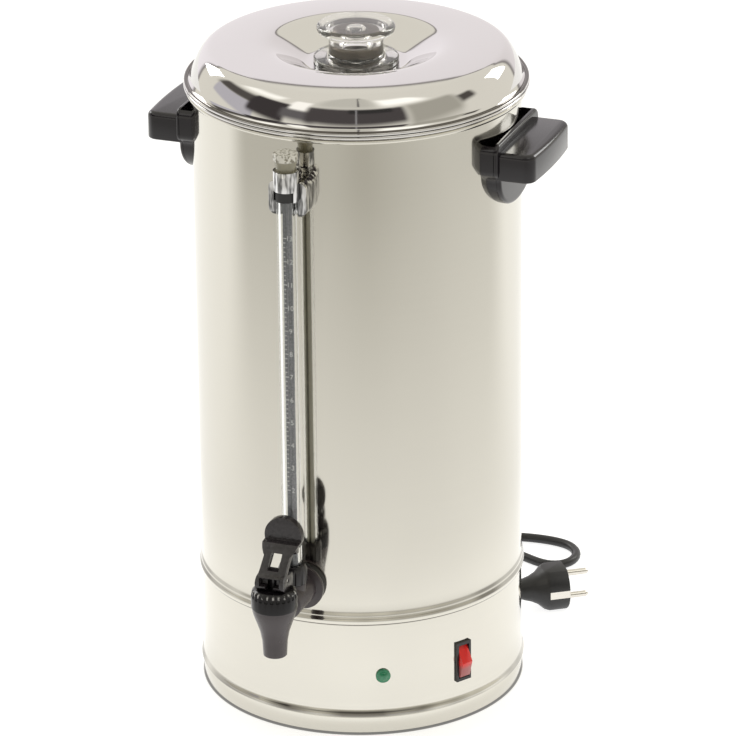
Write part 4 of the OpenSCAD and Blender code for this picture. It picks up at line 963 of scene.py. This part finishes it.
def shape_rocker():
    """The rocker with its middle standing out in a ridge."""
    bm = copied("switch_rocker")
    turn = math.radians(SWITCH_AZ)
    out = Vector((math.sin(turn), -math.cos(turn), 0))
    for v in bm.verts:
        if v.co.dot(out) > TANK_R + 0.3:
            v.co += out * 1.7 * max(0, 1 - abs(v.co.z - PANEL_Z) / 7)
    round_edges(bm, 0.35, angle=24, segments=2)
    made(bm, "rocker", ROCKER_RED, body="rocker", swaps=["switch_rocker"], slot="red_plastic")


shape_lens()
shape_rocker()

# ---- finishes of the solids that stay -----------------------------------

dress(CHROME, "gauge_bracket_screw", "tap_lever_pin", "handle_screws",
      "knob_nut", "switch_terminals")
dress(INNER_STEEL, "pump_tube", "coffee_basket", "basket_spreader")
dress(ZINC, "bottom_plate", "bottom_screws", "heater_clamp", "brew_heater", "warming_heater",
      "thermal_cutout")
dress(BRASS, "handle_inserts", "earth_stud")
dress(TAP_BLACK, "tap_nut", "tap_stem")
dress(BEZEL_BLACK, "switch_housing", "lamp_body", "thermostat", "gland_nut")
dress(RUBBER, "foot_ring", "gland_boot", "cord_tie", "gauge_top_seal", "gauge_lower_seal",
      "tap_outer_seal")
dress(SILICONE, "handle_seals", "tap_inner_seal", "tap_seat_cup")
dress(WHITE_PLASTIC, "terminal_block")
dress(WIRE, "wiring")
dress(GLASS, "gauge_glass")
dress(NICKEL, "plug_pins", "plug_earth_clips")

# ---- floor and light ----------------------------------------------------


FLOOR_CORNERS = [(-5, -4), (5, -4), (5, 6), (-5, 6)]
PAPER = (0.45, 0.45, 0.45)
PAPER_SHADED = (0.22, 0.215, 0.20)
# painted contact shadow: a thin dark ring on the floor under the edge of the base ring
PAPER_CONTACT_SHADOW = (0.02, 0.02, 0.02)  # in the contact line
LIGHT_FAR = (1.08, 1.08, 1.08)
LIGHT_NEAR = (0.86, 0.86, 0.86)
LIGHT_FOOT = (0.86, 0.85, 0.82)
LIGHT_SHADED = (0.425, 0.417, 0.391)
LIGHT_CONTACT_SHADOW = (0.05, 0.045, 0.04)


def lay_floor():
    """White paper lit from below, greyer with painted shade where it comes forward past the urn
    and just in front of the base, and with a painted contact shadow round the base.
    """
    bm = bmesh.new()
    bm.faces.new([bm.verts.new((x, y, 0)) for x, y in FLOOR_CORNERS])
    mesh = bpy.data.meshes.new("floor")
    bm.to_mesh(mesh)
    bm.free()
    floor = bpy.data.objects.new("floor", mesh)
    bpy.context.scene.collection.objects.link(floor)
    paper = Finish("white paper", PAPER, roughness=0.8, Emission_Strength=0.8)
    spot, x, y, z = paper.place()
    beside = x * RIGHT[0] + y * RIGHT[1]
    ahead = x * AHEAD[0] + y * AHEAD[1]
    forward = paper.between(ahead + paper.between(beside, 0.0, 0.4), 0.0, 1.0, -0.2, 0.25,
                            smooth=True)
    far = (x * x + y * y).power(0.5)
    shade = (forward * paper.between(far, 0.0, 1.0, 0.34, 1.25)
             * paper.between(beside, 1.0, 0.6, 0.0, 1.12)
             * paper.between(beside, 0.8, 1.0, -0.35, 0.15))
    near = paper.between(far, 1.0, 0.0, 0.2, 0.45, smooth=True)
    # painted shade on the floor just in front of the base
    foot = paper.between(far, 1.0, 0.0, 0.125, 0.17, smooth=True) * forward
    light = paper.blend(foot, paper.blend(near, LIGHT_NEAR, LIGHT_FAR), LIGHT_FOOT)
    # painted contact shadow round the base ring
    under = paper.between(far, 0.8, 0.0, 0.1184, 0.1194)
    paper.set("Base Color", paper.blend(
        under, paper.blend(shade, PAPER, PAPER_SHADED), PAPER_CONTACT_SHADOW))
    paper.set("Emission Color", paper.blend(
        under, paper.blend(shade, light, LIGHT_SHADED), LIGHT_CONTACT_SHADOW))
    mesh.materials.append(paper.material)


def hang_light(name, place, aim, size, power):
    data = bpy.data.lights.new(name, "AREA")
    data.shape = "RECTANGLE"
    data.size, data.size_y = size
    data.energy = power
    light = bpy.data.objects.new(name, data)
    bpy.context.scene.collection.objects.link(light)
    way = Vector(aim) - Vector(place)
    light.matrix_world = (Matrix.Translation(place)
                          @ way.to_track_quat("-Z", "Y").to_matrix().to_4x4())


DEGREES = 57.3  # in a radian
WALL_LEFT = (1.12, 1.07, 1.10)
WALL_RIGHT = (0.94, 0.89, 0.89)
RAIL = (0.30, 0.28, 0.27)


def set_surroundings():
    """The studio, by the turn from the viewer's side and the height over the horizon."""
    world = bpy.data.worlds.new("studio")
    bpy.context.scene.world = world
    world.use_nodes = True
    studio = Graph(world.node_tree)
    spot, x, y, z = studio.place("Generated")
    ahead = x * AHEAD[0] + y * AHEAD[1]
    beside = x * RIGHT[0] + y * RIGHT[1]
    turn = beside.angle_to(ahead) * DEGREES
    height = z.rise() * DEGREES

    def patch(room, colour, left, right, low, high, soft=2.0):
        """The room with a soft-edged patch of another brightness in it."""
        across = (studio.between(turn, 0.0, 1.0, left - soft, left + soft, smooth=True)
                  * studio.between(turn, 1.0, 0.0, right - soft, right + soft, smooth=True))
        upward = (studio.between(height, 0.0, 1.0, low - soft, low + soft, smooth=True)
                  * studio.between(height, 1.0, 0.0, high - soft, high + soft, smooth=True))
        return studio.blend(across * upward, room, colour)

    # pale ceiling, greyer over the viewer, and its lamps
    room = patch((0.93, 0.90, 0.80), (0.70, 0.68, 0.60), -34, 16, 40, 86, 9)
    room = patch(room, (1.55, 1.53, 1.42), 21, 62, 44, 66, 7)
    room = patch(room, (1.45, 1.43, 1.32), -112, -66, 40, 51, 5)
    room = patch(room, (1.40, 1.37, 1.27), -53, -38, 27, 48, 3)
    # dark far side of the room behind the viewer, with a few things in it
    room = patch(room, (0.50, 0.48, 0.41), 38, 80, 11, 39, 5)
    room = patch(room, (0.11, 0.10, 0.09), -120, -78, 18, 33, 4)
    room = patch(room, (0.62, 0.60, 0.64), -118, -76, 6, 19, 1.2)
    room = patch(room, (0.060, 0.052, 0.052), -83, -52, 11, 36, 2.5)
    room = patch(room, (0.16, 0.15, 0.15), -56, -30, 16, 28, 3)
    room = patch(room, (0.088, 0.078, 0.077), -37, 36, 16, 38, 3)
    room = patch(room, (0.045, 0.042, 0.041), -6, 27, 30, 37, 2)
    room = patch(room, (0.10, 0.09, 0.08), 80, 94, 17, 29, 3)
    # a lamp's stand straight over the viewer
    room = patch(room, (0.20, 0.19, 0.18), 0.4, 2.5, 45, 82, 0.6)
    room = patch(room, (0.24, 0.23, 0.22), 2, 9, 80, 84, 1.0)
    room = patch(room, (0.34, 0.33, 0.33), -0.9, 0.3, 17, 38, 0.4)
    # pale paper wall behind the urn with a dark rail along its edges
    wall = (studio.between(ahead, 1.0, 0.0, -0.83, -0.77, smooth=True)
            * studio.between(height, 1.0, 0.0, 28, 29, smooth=True))
    rail = (studio.between(ahead, 1.0, 0.0, -0.78, -0.74, smooth=True)
            * studio.between(height, 1.0, 0.0, 29, 31, smooth=True))
    side = studio.blend(studio.between(beside, 0.0, 1.0, -0.5, 0.5, smooth=True),
                        WALL_LEFT, WALL_RIGHT)
    room = studio.blend(wall, studio.blend(rail, room, RAIL), side)
    shown = studio.node("ShaderNodeBackground", inputs={0: room, 1: 1.0})
    studio.node("ShaderNodeOutputWorld", inputs={0: shown})


BOX_FAR = 2.0
BOX_HEIGHT = 1.25
BOX_AIM = (0, 0, 0.4)
BOX_SIZE = (0.62, 0.70)
BOX_POWER = 7

lay_floor()
set_surroundings()
for name, degrees in (("right soft box", 126), ("left soft box", -134)):
    turn = math.radians(degrees)
    place = [BOX_FAR * (math.cos(turn) * a + math.sin(turn) * b) for a, b in zip(AHEAD, RIGHT)]
    hang_light(name, (*place, BOX_HEIGHT), BOX_AIM, BOX_SIZE, BOX_POWER)
bpy.context.scene.view_settings.view_transform = "Standard"
